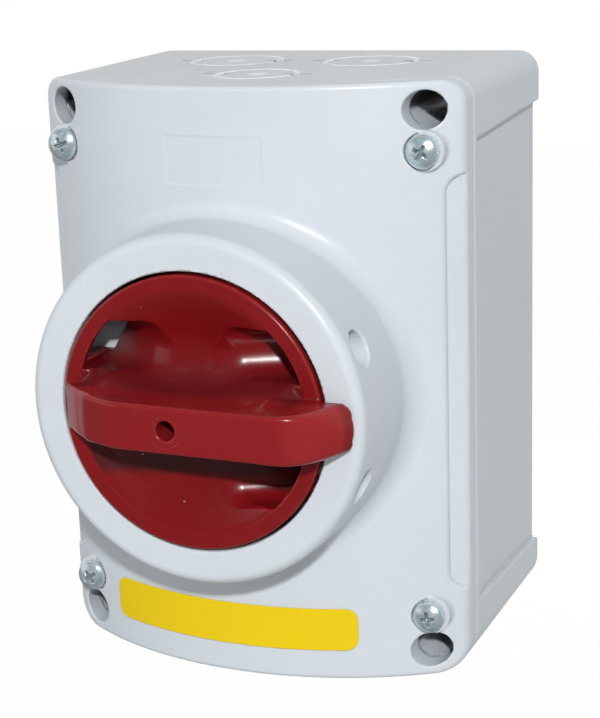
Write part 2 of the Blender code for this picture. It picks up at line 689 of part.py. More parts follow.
# Handle and what turns with it
def make_handle(axis):
    groove_bottom = HUB_RADIUS - SEAL_GROOVE
    clip_bottom = HUB_RADIUS - CLIP_GROOVE
    seal_half = SEAL_WIDTH / 2 + GAP
    profile = [(0.0, HANDLE_FRONT), (HANDLE_RADIUS - HANDLE_EDGE, HANDLE_FRONT),
               (HANDLE_RADIUS, HANDLE_FRONT - HANDLE_EDGE), (HANDLE_RADIUS, HANDLE_BACK),
               (HUB_RADIUS, HANDLE_BACK), (HUB_RADIUS, SEAL_DEPTH + seal_half),
               (groove_bottom, SEAL_DEPTH + seal_half), (groove_bottom, SEAL_DEPTH - seal_half),
               (HUB_RADIUS, SEAL_DEPTH - seal_half), (HUB_RADIUS, CLIP_FRONT + GAP),
               (clip_bottom, CLIP_FRONT + GAP), (clip_bottom, CLIP_FRONT - CLIP_THICKNESS - GAP),
               (HUB_RADIUS, CLIP_FRONT - CLIP_THICKNESS - GAP), (HUB_RADIUS, HUB_BACK), (0.0, HUB_BACK)]
    handle = turned("rotary_handle", profile, FINE)
    for end in (-1, 1):
        cut(handle, finger_pocket(end))
        middle = (0.0, end * PADLOCK_HEIGHT, PADLOCK_DEPTH)
        cut(handle, rod_through(f"handle_window_{end}", PADLOCK_RADIUS, BOX_WIDTH, middle, ALONG_X))
    join(handle, grip_bar())
    socket = rectangle(SHAFT_SOCKET, SHAFT_SOCKET)
    cut(handle, prism("shaft_socket", [socket], HUB_BACK - PAST, SHAFT_FRONT + GAP))
    screw_way = HANDLE_SCREW_RADIUS + GAP
    cut(handle, rod("handle_screw_way", screw_way, SHAFT_FRONT, BAR_FRONT + PAST, segments=COARSE))
    part(handle, RED_PLASTIC, axis)


def finger_pocket(end):
    # Side view of the recess: floor, lip, then a slope out to the rim.
    slope_front = HANDLE_FRONT - RIM_STEP
    open_front = HANDLE_FRONT + PAST
    outline = [(POCKET_FLOOR, POCKET_LOW), (POCKET_FLOOR, POCKET_HIGH), (ROOF_LIP_DEPTH, POCKET_HIGH),
               (slope_front, RIM_RADIUS), (slope_front, HANDLE_RADIUS), (open_front, HANDLE_RADIUS),
               (open_front, POCKET_LOW)]
    outline = [(forward, end * up) for forward, up in outline]
    pocket = prism(f"finger_pocket_{end}", [outline], -HANDLE_RADIUS, HANDLE_RADIUS, SIDE)
    keep_common(pocket, rod(f"pocket_trim_{end}", RIM_RADIUS, HANDLE_BACK, open_front + PAST, segments=FINE))
    return pocket


def grip_bar():
    rise = BAR_FRONT - BAR_BASE
    right_end = (BAR_RIGHT - BAR_END_LENGTH, BAR_BASE)
    left_end = (BAR_LEFT + BAR_END_LENGTH, BAR_BASE)
    right = arc(right_end, BAR_END_LENGTH, rise, 0.0, math.pi / 2, BAR_END_STEPS)
    left = arc(left_end, BAR_END_LENGTH, rise, math.pi / 2, math.pi, BAR_END_STEPS)
    sunk = HANDLE_FRONT - 2 * BAR_EDGE
    foot_right = HANDLE_RADIUS - BAR_EDGE
    foot = [(BAR_LEFT + BAR_EDGE, sunk), (foot_right, sunk), (foot_right, BAR_BASE - ROOT / 2)]
    bar = prism("grip_bar", [right + left + foot], -BAR_HEIGHT / 2, BAR_HEIGHT / 2, PLAN)
    round_over = bar.modifiers.new("Edges", "BEVEL")
    round_over.width = BAR_EDGE
    round_over.segments = 2
    round_over.limit_method = "ANGLE"
    round_over.angle_limit = BAR_CORNER_ANGLE
    return bar


def make_handle_fittings(axis):
    screw_back = SHAFT_FRONT - HANDLE_SCREW_GRIP
    screw = rod("handle_screw", HANDLE_SCREW_RADIUS, screw_back, HANDLE_SCREW_FRONT, segments=COARSE)
    blade = (HANDLE_SCREW_RADIUS + PAST, HANDLE_SCREW_RADIUS / 4, HANDLE_SCREW_FRONT + PAST)
    slot_floor = HANDLE_SCREW_FRONT - HANDLE_SCREW_RADIUS / 2
    cut(screw, block("handle_screw_slot", (-blade[0], -blade[1], slot_floor), blade))
    part(screw, ZINC_STEEL, axis)

    seal_rings = [circle(HUB_RADIUS + RUN / 2), circle(HUB_RADIUS - SEAL_GROOVE + GAP)]
    seal = prism("handle_seal", seal_rings, SEAL_DEPTH - SEAL_WIDTH / 2, SEAL_DEPTH + SEAL_WIDTH / 2)
    part(seal, DARK_RUBBER, axis)

    clip_bore = HUB_RADIUS - CLIP_GROOVE + GAP
    clip_rings = [circle(CLIP_RADIUS), circle(clip_bore)]
    clip = prism("handle_clip", clip_rings, CLIP_FRONT - CLIP_THICKNESS, CLIP_FRONT)
    mouth = clip_bore * CLIP_MOUTH
    cut(clip, block("clip_mouth", (-mouth, 0.0, HUB_BACK - PAST), (mouth, CLIP_RADIUS + PAST, RECESS_FLOOR)))
    part(clip, SPRING_STEEL, axis)

    half = SHAFT_SIZE / 2
    shaft = block("drive_shaft", (-half, -half, SHAFT_BACK), (half, half, SHAFT_FRONT))
    tapped = HANDLE_SCREW_RADIUS + GAP
    cut(shaft, rod("shaft_thread", tapped, screw_back - GAP, SHAFT_FRONT + PAST, segments=COARSE))
    part(shaft, ZINC_STEEL, axis)


# Switch stack
def deck_block(name, back, front):
    return block(name, (-DECK_HALF, -DECK_HALF, back), (DECK_HALF, DECK_HALF, front))


def deck_back(pole):
    return FOOT_FRONT + GAP + pole * DECK_PITCH


def terminal_x(pole):
    return (pole - (POLES - 1) / 2) * TERMINAL_PITCH


def bolt_places():
    return [(-BOLT_X, BOLT_X), (BOLT_X, -BOLT_X)]


def drill_bolts(target, back, front):
    for number, (x, up) in enumerate(bolt_places()):
        name = f"{target.name}_bolt_{number}"
        cut(target, rod(name, BOLT_RADIUS + GAP, back - PAST, front + PAST, (x, up), COARSE))


def strip_outline(pole, end, grow=0.0):
    # Straight tip beside the rotor, slanting out to the pole's own terminal.
    half = STRIP_WIDTH / 2 + grow
    out = terminal_x(pole)
    bend = STRIP_TIP + STRIP_WIDTH / 2
    edge = DECK_HALF - GAP
    points = [(half, STRIP_TIP - grow), (half, bend), (out + half, edge), (out + half, STRIP_END + grow),
              (out - half, STRIP_END + grow), (out - half, edge), (-half, bend), (-half, STRIP_TIP - grow)]
    return [(across, end * up) for across, up in points]


def make_deck(pole):
    back = deck_back(pole)
    front = back + DECK_THICKNESS
    strip_back = back + STRIP_LEVEL
    deck = deck_block(f"contact_deck_{pole + 1}", back, front)
    x = terminal_x(pole)
    for end in (-1, 1):
        inner = end * (DECK_HALF - ROOT)
        outer = end * (DECK_HALF + LEDGE_LENGTH)
        low = (x - LEDGE_WIDTH / 2, min(inner, outer), back)
        high = (x + LEDGE_WIDTH / 2, max(inner, outer), strip_back - GAP)
        join(deck, block(f"ledge_{pole}_{end}", low, high))
        groove = strip_outline(pole, end, GAP)
        cut(deck, prism(f"strip_groove_{pole}_{end}", [groove], strip_back - GAP, front + PAST))
        pilot = TERMINAL_SHANK_RADIUS + GAP
        place = (x, end * TERMINAL_UP)
        cut(deck, rod(f"terminal_pilot_{pole}_{end}", pilot, back - PAST, front, place, COARSE))
    cut(deck, rod(f"deck_cavity_{pole}", DECK_CAVITY_RADIUS, back + DECK_FLOOR, front + PAST))
    cut(deck, rod(f"deck_bore_{pole}", ROTOR_RADIUS + RUN, back - PAST, front))
    drill_bolts(deck, back, front)
    part(deck, BLACK_PLASTIC)


def make_fixed_contact(pole, name, end):
    back = deck_back(pole) + STRIP_LEVEL
    strip = prism(f"{name}_contact_{pole + 1}", [strip_outline(pole, end)], back, back + STRIP_THICKNESS)
    place = (terminal_x(pole), end * TERMINAL_UP)
    hole = TERMINAL_SHANK_RADIUS + GAP
    cut(strip, rod(f"{name}_hole_{pole}", hole, back - PAST, back + PAST, place, COARSE))
    part(strip, COPPER_ALLOY)
    head = (TERMINAL_HEAD_RADIUS, TERMINAL_HEAD_HEIGHT)
    seat = (*place, back + STRIP_THICKNESS + GAP)
    length = STRIP_THICKNESS + STRIP_LEVEL
    screw_set([f"{name}_screw_{pole + 1}"], [seat], head, TERMINAL_SHANK_RADIUS, length, ZINC_STEEL)


def make_moving_contact(pole, axis):
    back = deck_back(pole) + BLADE_LEVEL
    blade = block(f"moving_contact_{pole + 1}", (-BLADE_LENGTH / 2, -STRIP_WIDTH / 2, back),
                  (BLADE_LENGTH / 2, STRIP_WIDTH / 2, back + BLADE_THICKNESS))
    part(blade, COPPER_ALLOY, axis)


def make_rotor(axis):
    body_back = FOOT_FRONT + 2 * GAP
    body_front = INDEX_BACK - GAP
    journal_back = FOOT_BACK + GAP
    profile = [(0.0, body_front), (ROTOR_RADIUS, body_front), (ROTOR_RADIUS, body_back),
               (ROTOR_JOURNAL_RADIUS, body_back), (ROTOR_JOURNAL_RADIUS, journal_back), (0.0, journal_back)]
    rotor = turned("contact_rotor", profile)
    half = ROTOR_SQUARE / 2
    square = block("rotor_square", (-half, -half, body_front - ROOT), (half, half, INDEX_COVER_FRONT))
    join(rotor, square)
    socket = rectangle(SHAFT_SOCKET, SHAFT_SOCKET)
    cut(rotor, prism("rotor_socket", [socket], SHAFT_BACK - GAP, INDEX_COVER_FRONT + PAST))
    for pole in range(POLES):
        back = deck_back(pole) + BLADE_LEVEL
        low = (-ROTOR_RADIUS - PAST, -STRIP_WIDTH / 2 - GAP, back - GAP)
        high = (ROTOR_RADIUS + PAST, STRIP_WIDTH / 2 + GAP, back + BLADE_THICKNESS + GAP)
        cut(rotor, block(f"blade_slot_{pole}", low, high))
    part(rotor, ROTOR_PLASTIC, axis)


def make_foot():
    foot = deck_block("switch_foot", FOOT_BACK, FOOT_FRONT)
    ear = DECK_HALF + FOOT_EAR
    half = FLOOR_BOSS_RADIUS
    join(foot, block("foot_ears", (-ear, -half, FOOT_BACK), (ear, half, FOOT_FRONT)))
    cut(foot, rod("foot_bore", ROTOR_JOURNAL_RADIUS + RUN, FOOT_BACK - PAST, FOOT_FRONT + PAST))
    drill_bolts(foot, FOOT_BACK, FOOT_FRONT)
    places = []
    for side in (-1, 1):
        hole = TERMINAL_SHANK_RADIUS + GAP
        place = (side * EAR_X, 0.0)
        cut(foot, rod(f"foot_hole_{side}", hole, FOOT_BACK - PAST, FOOT_FRONT + PAST, place, COARSE))
        places.append((*place, FOOT_FRONT + GAP))
    part(foot, BLACK_PLASTIC)
    head = (TERMINAL_HEAD_RADIUS, TERMINAL_HEAD_HEIGHT)
    length = FOOT_THICKNESS + FLOOR_BOSS_HEIGHT - GAP
    screw_set(["foot_screw_1", "foot_screw_2"], places, head, TERMINAL_SHANK_RADIUS, length, ZINC_STEEL)


def make_index(axis):
    housing = deck_block("index_housing", INDEX_BACK, INDEX_FRONT)
    cavity_back = INDEX_BACK + DECK_FLOOR
    cut(housing, rod("index_cavity", DECK_CAVITY_RADIUS, cavity_back, INDEX_FRONT + PAST))
    square_sweep = ROTOR_SQUARE / math.sqrt(2) + RUN
    cut(housing, rod("index_bore", square_sweep, INDEX_BACK - PAST, INDEX_FRONT))
    drill_bolts(housing, INDEX_BACK, INDEX_FRONT)
    part(housing, BLACK_PLASTIC)

    lid = deck_block("index_cover", INDEX_COVER_BACK, INDEX_COVER_FRONT)
    cut(lid, rod("index_cover_bore", square_sweep, INDEX_COVER_BACK - PAST, INDEX_COVER_FRONT + PAST))
    drill_bolts(lid, INDEX_COVER_BACK, INDEX_COVER_FRONT)
    part(lid, BLACK_PLASTIC)

    wheel_back = cavity_back + 2 * GAP
    wheel_front = wheel_back + INDEX_WHEEL_WIDTH
    wheel = rod("index_wheel", INDEX_WHEEL_RADIUS, wheel_back, wheel_front)
    bore = ROTOR_SQUARE / 2 + GAP
    cut(wheel, prism("index_wheel_bore", [rectangle(bore, bore)], wheel_back - PAST, wheel_front + PAST))
    reach = INDEX_WHEEL_RADIUS + INDEX_NOTCH_RADIUS - INDEX_NOTCH_DEPTH
    for turn in range(4):
        angle = turn * math.pi / 2
        place = (reach * math.cos(angle), reach * math.sin(angle))
        notch = rod(f"notch_{turn}", INDEX_NOTCH_RADIUS, wheel_back - PAST, wheel_front + PAST, place, COARSE)
        cut(wheel, notch)
    part(wheel, ROTOR_PLASTIC, axis)

    for name, side in (("left", -1), ("right", 1)):
        spring_front = wheel_back + SPRING_WIDTH
        spring = prism(f"index_spring_{name}", [spring_outline(side)], wheel_back, spring_front)
        part(spring, SPRING_STEEL)


def spring_outline(side):
    # Leaf bowed in to the wheel's rim, with both ends against the housing.
    end_radius = DECK_CAVITY_RADIUS - GAP - SPRING_THICKNESS / 2
    end_x = end_radius * math.cos(SPRING_SPREAD)
    end_up = end_radius * math.sin(SPRING_SPREAD)
    nose_x = INDEX_WHEEL_RADIUS + GAP + SPRING_THICKNESS / 2
    line = []
    for step in range(-SPRING_STEPS, SPRING_STEPS + 1):
        share = step / SPRING_STEPS
        line.append((nose_x + (end_x - nose_x) * share ** 2, end_up * share))
    half = SPRING_THICKNESS / 2
    outer = [(side * (across + half), up) for across, up in line]
    inner = [(side * (across - half), up) for across, up in line]
    return outer + inner[::-1]


def make_tie_bolts():
    back = FOOT_BACK + GAP
    seat = INDEX_COVER_FRONT + GAP
    names = ["tie_bolt_1", "tie_bolt_2"]
    places = [(x, up, seat) for x, up in bolt_places()]
    screw_set(names, places, (BOLT_HEAD_RADIUS, BOLT_HEAD_HEIGHT), BOLT_RADIUS, seat - back, ZINC_STEEL)


def make_earth():
    x, up = EARTH_PLACE
    across = EARTH_WIDTH / 2
    along = EARTH_HEIGHT / 2
    low = (x - across, up - along, EARTH_BACK)
    terminal = block("earth_terminal", low, (x + across, up + along, EARTH_FRONT))
    middle = (x, up, (EARTH_BACK + EARTH_FRONT) / 2)
    wire_length = EARTH_HEIGHT + 2 * PAST
    cut(terminal, rod_through("earth_wire_hole", EARTH_WIRE_RADIUS, wire_length, middle, ALONG_UP, COARSE))
    hole = TERMINAL_SHANK_RADIUS + GAP
    cut(terminal, rod("earth_screw_hole", hole, EARTH_BACK - PAST, EARTH_FRONT + PAST, (x, up), COARSE))
    part(terminal, BRASS)
    head = (TERMINAL_HEAD_RADIUS, TERMINAL_HEAD_HEIGHT)
    length = EARTH_DEPTH + FLOOR_BOSS_HEIGHT - GAP
    screw_set(["earth_screw"], [(x, up, EARTH_FRONT + GAP)], head, TERMINAL_SHANK_RADIUS, length, ZINC_STEEL)


# The whole object
turn_axis = bpy.data.objects.new("turn_axis", None)
parts.objects.link(turn_axis)

make_base()
make_gasket()
make_cover()
make_label()
make_cover_screws()
make_handle(turn_axis)
make_handle_fittings(turn_axis)
make_foot()
make_rotor(turn_axis)
for pole_number in range(POLES):
    make_deck(pole_number)
    make_moving_contact(pole_number, turn_axis)
    make_fixed_contact(pole_number, "line", 1)
    make_fixed_contact(pole_number, "load", -1)
make_index(turn_axis)
make_tie_bolts()
make_earth()
bpy.context.view_layer.update()
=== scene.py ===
# Looks of a wall-mounted rotary isolator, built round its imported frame.
import json
import math

import bmesh
import bpy
import numpy as np
from mathutils import Matrix, Vector


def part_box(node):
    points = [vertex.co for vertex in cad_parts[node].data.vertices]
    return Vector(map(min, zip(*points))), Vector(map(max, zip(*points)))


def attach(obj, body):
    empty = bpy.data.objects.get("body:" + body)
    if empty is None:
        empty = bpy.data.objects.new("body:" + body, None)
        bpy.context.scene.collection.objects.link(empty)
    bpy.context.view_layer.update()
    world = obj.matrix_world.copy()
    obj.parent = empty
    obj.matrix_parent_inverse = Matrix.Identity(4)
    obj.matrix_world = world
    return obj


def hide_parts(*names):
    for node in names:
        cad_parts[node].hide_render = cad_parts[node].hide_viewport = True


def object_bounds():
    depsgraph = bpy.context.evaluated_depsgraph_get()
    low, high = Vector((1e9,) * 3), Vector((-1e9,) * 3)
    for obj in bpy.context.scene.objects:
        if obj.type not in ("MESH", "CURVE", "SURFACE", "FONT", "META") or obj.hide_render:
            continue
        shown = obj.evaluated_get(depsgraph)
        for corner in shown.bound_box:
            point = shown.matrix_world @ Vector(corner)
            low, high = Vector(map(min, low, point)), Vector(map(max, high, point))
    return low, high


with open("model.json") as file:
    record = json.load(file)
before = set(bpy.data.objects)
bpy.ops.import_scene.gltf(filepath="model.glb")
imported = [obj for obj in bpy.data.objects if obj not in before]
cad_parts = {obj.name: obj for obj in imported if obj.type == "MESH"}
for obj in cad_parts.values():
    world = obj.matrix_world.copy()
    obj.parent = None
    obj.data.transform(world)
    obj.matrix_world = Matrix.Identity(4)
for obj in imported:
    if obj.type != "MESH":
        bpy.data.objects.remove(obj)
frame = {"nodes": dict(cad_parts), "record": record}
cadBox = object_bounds()
nodes = frame["nodes"]
mm = 0.001
farAway = 1000.0  # millimetres, past every piece

print("frame loaded:", len(nodes), "nodes")


# Solids are drawn as distances in millimetres: x to the right, d out from the wall, z up.
# A distance is below zero inside the solid.
def both(a, b, edge):  # what two solids share, its edge rounded
    corner = np.hypot(np.maximum(a + edge, 0), np.maximum(b + edge, 0))
    return np.minimum(np.maximum(a, b), -edge) + corner


def join(a, b, fillet):  # two solids grown together, with a fillet in the corner
    corner = np.hypot(np.maximum(fillet - a, 0), np.maximum(fillet - b, 0))
    return np.maximum(np.minimum(a, b), fillet) - corner


def cutAway(a, b, edge):
    return both(a, -b, edge)


def roundRect(u, v, halfU, halfV, corner):
    qu = np.abs(u) - halfU + corner
    qv = np.abs(v) - halfV + corner
    outside = np.hypot(np.maximum(qu, 0), np.maximum(qv, 0))
    return np.minimum(np.maximum(qu, qv), 0) + outside - corner


def ease(low, high, value):  # soft step from 0 to 1
    share = np.clip((value - low) / (high - low), 0, 1)
    return share * share * (3 - 2 * share)


def bowed(x, d, apex, radius):  # distance in front of an upright cylinder
    return np.hypot(x, d - apex + radius) - radius


# Meshing: one point in each grid cell that the surface crosses, then slid onto the surface.
meshing = {
    "quickStep": 2.0, "reach": 0.1, "rounds": 2, "lastRounds": 1, "leastSlope": 0.3, "longestMove": 4,
    "normalReach": 3, "bendReach": 0.5, "wideFace": 1.6, "cornerInset": 0.45, "weld": 0.004, "tiny": 1e-9,
}


def netOf(field, lines):
    inside = field < 0
    cells = [size - 1 for size in field.shape]
    shifts = [(i, j, k) for i in (0, 1) for j in (0, 1) for k in (0, 1)]
    count = np.zeros(cells, np.uint8)
    for i, j, k in shifts:
        count += inside[i:i + cells[0], j:j + cells[1], k:k + cells[2]]
    picked = np.argwhere((count > 0) & (count < 8))
    number = np.full(cells, -1, np.int32)
    number[tuple(picked.T)] = np.arange(len(picked))
    total = np.zeros((len(picked), 3))
    hits = np.zeros(len(picked))
    for first in shifts:
        for axis in range(3):
            if first[axis]:
                continue
            second = list(first)
            second[axis] = 1
            a = picked + first
            b = picked + second
            fieldA = field[tuple(a.T)]
            fieldB = field[tuple(b.T)]
            crossing = (fieldA < 0) != (fieldB < 0)
            share = fieldA[crossing] / (fieldA[crossing] - fieldB[crossing])
            start = np.stack([lines[n][a[crossing, n]] for n in range(3)], 1)
            stop = np.stack([lines[n][b[crossing, n]] for n in range(3)], 1)
            total[crossing] += start + (stop - start) * share[:, None]
            hits[crossing] += 1
    quads = []
    for axis in range(3):
        u, v = (axis + 1) % 3, (axis + 2) % 3
        lower = [slice(1, -1)] * 3
        upper = [slice(1, -1)] * 3
        lower[axis] = slice(0, -1)
        upper[axis] = slice(1, None)
        start = inside[tuple(lower)]
        stop = inside[tuple(upper)]
        for flipped, mask in ((True, start & ~stop), (False, ~start & stop)):
            spot = np.argwhere(mask)
            spot[:, u] += 1
            spot[:, v] += 1
            ring = []
            for du, dv in ((-1, -1), (0, -1), (0, 0), (-1, 0)):
                cell = spot.copy()
                cell[:, u] += du
                cell[:, v] += dv
                ring.append(number[tuple(cell.T)])
            quads.append(np.stack(ring[::-1] if flipped else ring, 1))
    return total / hits[:, None], np.concatenate(quads)


def slopeOf(shape, points, reach):  # uphill direction of the distance at each point
    slope = np.zeros_like(points)
    for axis in range(3):
        step = np.zeros(3)
        step[axis] = reach
        slope[:, axis] = shape(*(points + step).T) - shape(*(points - step).T)
    length = np.linalg.norm(slope, axis=1, keepdims=True)
    return slope / np.maximum(length, meshing["tiny"]), length[:, 0] / (2 * reach)


def settle(shape, points, reach, rounds):
    limit = reach * meshing["longestMove"]
    for turn in range(rounds):
        slope, steepness = slopeOf(shape, points, reach)
        move = shape(*points.T) / np.maximum(steepness, meshing["leastSlope"])
        points = points - slope * np.clip(move, -limit, limit)[:, None]
    return points


def bendOf(shape, points, reach):  # how sharply the surface bends: above zero on edges, below in corners
    total = -6 * shape(*points.T)
    for axis in range(3):
        step = np.zeros(3)
        step[axis] = reach
        total = total + shape(*(points + step).T) + shape(*(points - step).T)
    return total / reach


def toWorld(points):
    return points * (mm, -mm, mm)


def fromWorld(mesh):
    flat = np.empty(len(mesh.vertices) * 3, np.float64)
    mesh.vertices.foreach_get("co", flat)
    return flat.reshape(-1, 3) / (mm, -mm, mm)


def meshOf(name, points, quads):
    mesh = bpy.data.meshes.new(name)
    mesh.vertices.add(len(points))
    mesh.vertices.foreach_set("co", toWorld(points).astype(np.float32).ravel())
    mesh.loops.add(quads.size)
    mesh.loops.foreach_set("vertex_index", quads.astype(np.int32).ravel())
    mesh.polygons.add(len(quads))
    mesh.polygons.foreach_set("loop_start", np.arange(0, quads.size, 4, dtype=np.int32))
    mesh.update(calc_edges=True)
    mesh.validate()
    return mesh


def addPiece(name, mesh):
    piece = bpy.data.objects.new(name, mesh)
    bpy.context.scene.collection.objects.link(piece)
    return piece


def clean(mesh):  # merges points that fell together and drops faces left without area
    bm = bmesh.new()
    bm.from_mesh(mesh)
    bmesh.ops.remove_doubles(bm, verts=bm.verts, dist=meshing["weld"] * mm)
    bmesh.ops.dissolve_degenerate(bm, edges=bm.edges, dist=meshing["weld"] * mm)
    bm.to_mesh(mesh)
    bm.free()


def thin(piece, keep):  # fewer faces where the surface is flat
    modifier = piece.modifiers.new("thin", "DECIMATE")
    modifier.ratio = keep
    bpy.context.view_layer.update()
    shown = piece.evaluated_get(bpy.context.evaluated_depsgraph_get())
    mesh = bpy.data.meshes.new_from_object(shown)
    piece.modifiers.clear()
    old = piece.data
    piece.data = mesh
    bpy.data.meshes.remove(old)


def cornerNormals(shape, mesh, points, reach):  # on a wide face, taken just inside its corners
    vertexOf = np.empty(len(mesh.loops), np.int32)
    mesh.loops.foreach_get("vertex_index", vertexOf)
    sides = np.empty(len(mesh.polygons), np.int32)
    mesh.polygons.foreach_get("loop_total", sides)
    starts = np.cumsum(sides) - sides
    centres = np.add.reduceat(points[vertexOf], starts) / sides[:, None]
    inward = np.repeat(centres, sides, axis=0) - points[vertexOf]
    far = np.linalg.norm(inward, axis=1)
    wide = far > meshing["wideFace"]
    inner = points[vertexOf[wide]] + inward[wide] / far[wide, None] * meshing["cornerInset"]
    normals = slopeOf(shape, points, reach)[0][vertexOf]
    normals[wide] = slopeOf(shape, inner, reach)[0]
    return normals


def evenLine(start, stop, step):
    return np.linspace(start, stop, int(round((stop - start) / step)) + 1, dtype=np.float32)


def moulded(name, shape, low, high, steps, faces, tints):
    coarse = 1.0
    lines = [evenLine(start, stop, step * coarse) for start, stop, step in zip(low, high, steps)]
    field = shape(lines[0][:, None, None], lines[1][None, :, None], lines[2][None, None, :])
    points, quads = netOf(np.broadcast_to(field, [len(line) for line in lines]), lines)
    reach = meshing["reach"] * min(steps)
    points = settle(shape, points, reach, meshing["rounds"])
    piece = addPiece(name, meshOf(name, points, quads))
    if len(quads) * 2 > faces:
        thin(piece, faces / (len(quads) * 2))
    mesh = piece.data
    mesh.name = name
    clean(mesh)
    points = settle(shape, fromWorld(mesh), reach, meshing["lastRounds"])
    mesh.vertices.foreach_set("co", toWorld(points).astype(np.float32).ravel())
    mesh.shade_smooth()
    normals = cornerNormals(shape, mesh, points, meshing["normalReach"] * reach)
    mesh.normals_split_custom_set(normals * (1, -1, 1))
    tints = {"bend": lambda x, d, z: bendOf(shape, np.stack((x, d, z), 1), meshing["bendReach"]), **tints}
    for key, tint in tints.items():
        layer = mesh.attributes.new(key, "FLOAT", "POINT")
        layer.data.foreach_set("value", tint(*points.T).astype(np.float32))
    mesh.update()
    print(name, "moulded:", len(mesh.vertices), "points,", len(mesh.polygons), "faces")
    return piece


def roomFor(low, high, margin):  # grid corners round a box of the frame, in the shapes' own directions
    start = (low.x / mm - margin, -high.y / mm - margin, low.z / mm - margin)
    stop = (high.x / mm + margin, -low.y / mm + margin, high.z / mm + margin)
    return start, stop


def stand(piece, body, slot, *replaced):
    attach(piece, body)
    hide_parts(*replaced)
    return piece


# Enclosure: sizes that the base and the cover share, taken from the frame where they can be
baseLow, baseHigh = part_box("base_box")
coverLow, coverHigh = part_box("front_cover")
handleLow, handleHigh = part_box("rotary_handle")
screwLow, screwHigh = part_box("cover_screw_2")
labelLow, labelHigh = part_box("label_plate")
wall = {
    "halfWidth": baseHigh.x / mm, "halfHeight": baseHigh.z / mm, "lean": math.tan(math.radians(1.0)),
    "topLean": 0.012, "lowLean": 0.007, "corner": 5.5, "lowCorner": 7.5,
    "frontApex": -coverLow.y / mm - 19.7, "frontFall": 20.2,
    "splitApex": -baseLow.y / mm, "splitFall": 20.7, "splitGap": 0.3,
    "cavitySide": 6.0, "cavityEnd": 5.0, "columnSide": 17.3, "columnEnd": 25.3, "cavityCorner": 1.5,
    "fixingX": (screwLow.x + screwHigh.x) / 2 / mm, "screwUp": (screwLow.z + screwHigh.z) / 2 / mm,
    "holeUp": 67.5, "holeRadius": 4.6, "holeNeck": 3.2, "pilot": 2.2, "pilotBack": 52.0,
    # painted shade down the fixing holes
    "gloomAround": (0.6, 0.3), "gloomFrom": (2.0, 2.8), "gloomSplit": (0.3, -0.1),
    "gloomTilt": (0.5, 0.85), "gloomSide": (-2.9, -2.2), "seamGloom": 0.8, "seamReach": (0.55, 0.25),
}


def bowRadius(fall):
    return (wall["halfWidth"] ** 2 + fall ** 2) / (2 * fall)


wall["frontRadius"] = bowRadius(wall["frontFall"])
wall["splitRadius"] = bowRadius(wall["splitFall"])


def halfUp(d, z):  # the top and bottom faces lean less than the sides
    return wall["halfHeight"] - d * np.where(z > 0, wall["topLean"], wall["lowLean"])


def outerSide(x, d, z):
    corner = np.where(z > 0, wall["corner"], wall["lowCorner"])
    return roundRect(x, z, wall["halfWidth"] - d * wall["lean"], halfUp(d, z), corner)


def cavity(x, z):
    sideways = wall["halfWidth"] - wall["cavitySide"], wall["halfHeight"] - wall["columnEnd"]
    upright = wall["halfWidth"] - wall["columnSide"], wall["halfHeight"] - wall["cavityEnd"]
    corner = wall["cavityCorner"]
    return np.minimum(roundRect(x, z, *sideways, corner), roundRect(x, z, *upright, corner))


def fromCorners(x, z, up):  # distance from the nearest of four corner axes
    return np.hypot(np.abs(x) - wall["fixingX"], np.abs(z) - up)


def holeGloom(x, d, z):  # painted shade down the fixing holes and along the seam, but not on the side that the light reaches
    outer, inner = (wall["holeRadius"] + past for past in wall["gloomAround"])
    inHole = ease(outer, inner, fromCorners(x, z, wall["holeUp"]))
    tiltX, tiltZ = wall["gloomTilt"]
    aside = (x - np.sign(x) * wall["fixingX"]) * tiltX + (z - np.sign(z) * wall["holeUp"]) * tiltZ
    inFront = bowed(x, d, wall["splitApex"] + wall["splitGap"] / 2, wall["splitRadius"])
    behind = ease(*wall["gloomSplit"], inFront) * ease(*wall["gloomSide"], aside)
    seam = wall["seamGloom"] * ease(*wall["seamReach"], np.abs(inFront))
    ahead = ease(*wall["gloomFrom"], d)  # none on the back face
    return inHole * ahead * np.maximum(behind, seam)


# Base box
base = {
    "backWall": 3.0, "backEdge": 0.8, "splitEdge": 0.4, "cavityEdge": 0.6, "holeEdge": 0.3,
    "steps": (0.6, 0.6, 0.6), "faces": 80000, "margin": 1.5,
    "panelSink": 1.6, "panelFront": 55.8, "panelBack": 62.0, "panelTaper": 3.0 / 56.0, "panelEdge": 0.5,
    "knockouts": ((-19.0, 27.0, 12.7), (19.0, 27.0, 12.7), (0.0, 58.0, 11.0)),  # x, d and radius
    "knockoutEdge": 0.2,
    "groove": 0.7, "grooveSink": 0.8, "dimple": 2.8, "dimpleSink": 0.4,
    "tick": (1.3, 0.5), "tickCorner": 0.4, "tickSink": 0.7, "tickInside": 2.4, "tickOutside": 2.0,
    # painted highlight on the knock-out rings and centres
    "highlightRing": (1.2, 0.6), "highlightCentre": (0.4, -0.6), "centreShare": 0.8,
    # painted shade in the marks beside the knock-outs
    "tickGloom": (0.3, -0.1), "tintDepth": (1.6, 1.0),
    "floorBosses": ((-29.0, 0.0), (29.0, 0.0), (-39.7, -36.0)),  # x and z
    "floorBoss": 5.0, "floorBossTop": 7.0, "floorPilot": 1.9, "floorPilotEnd": 0.3, "bossFillet": 0.5,
}


def belowEnd(d, z):  # how far inside the top or bottom face
    return halfUp(d, z) - np.abs(z)


def tickShapes(x, d):  # short marks inside and outside each knock-out's ring, left and right
    for middle, depth, radius in base["knockouts"]:
        for reach in (radius - base["tickInside"], radius + base["tickOutside"]):
            yield roundRect(np.abs(x - middle) - reach, d - depth, *base["tick"], base["tickCorner"])


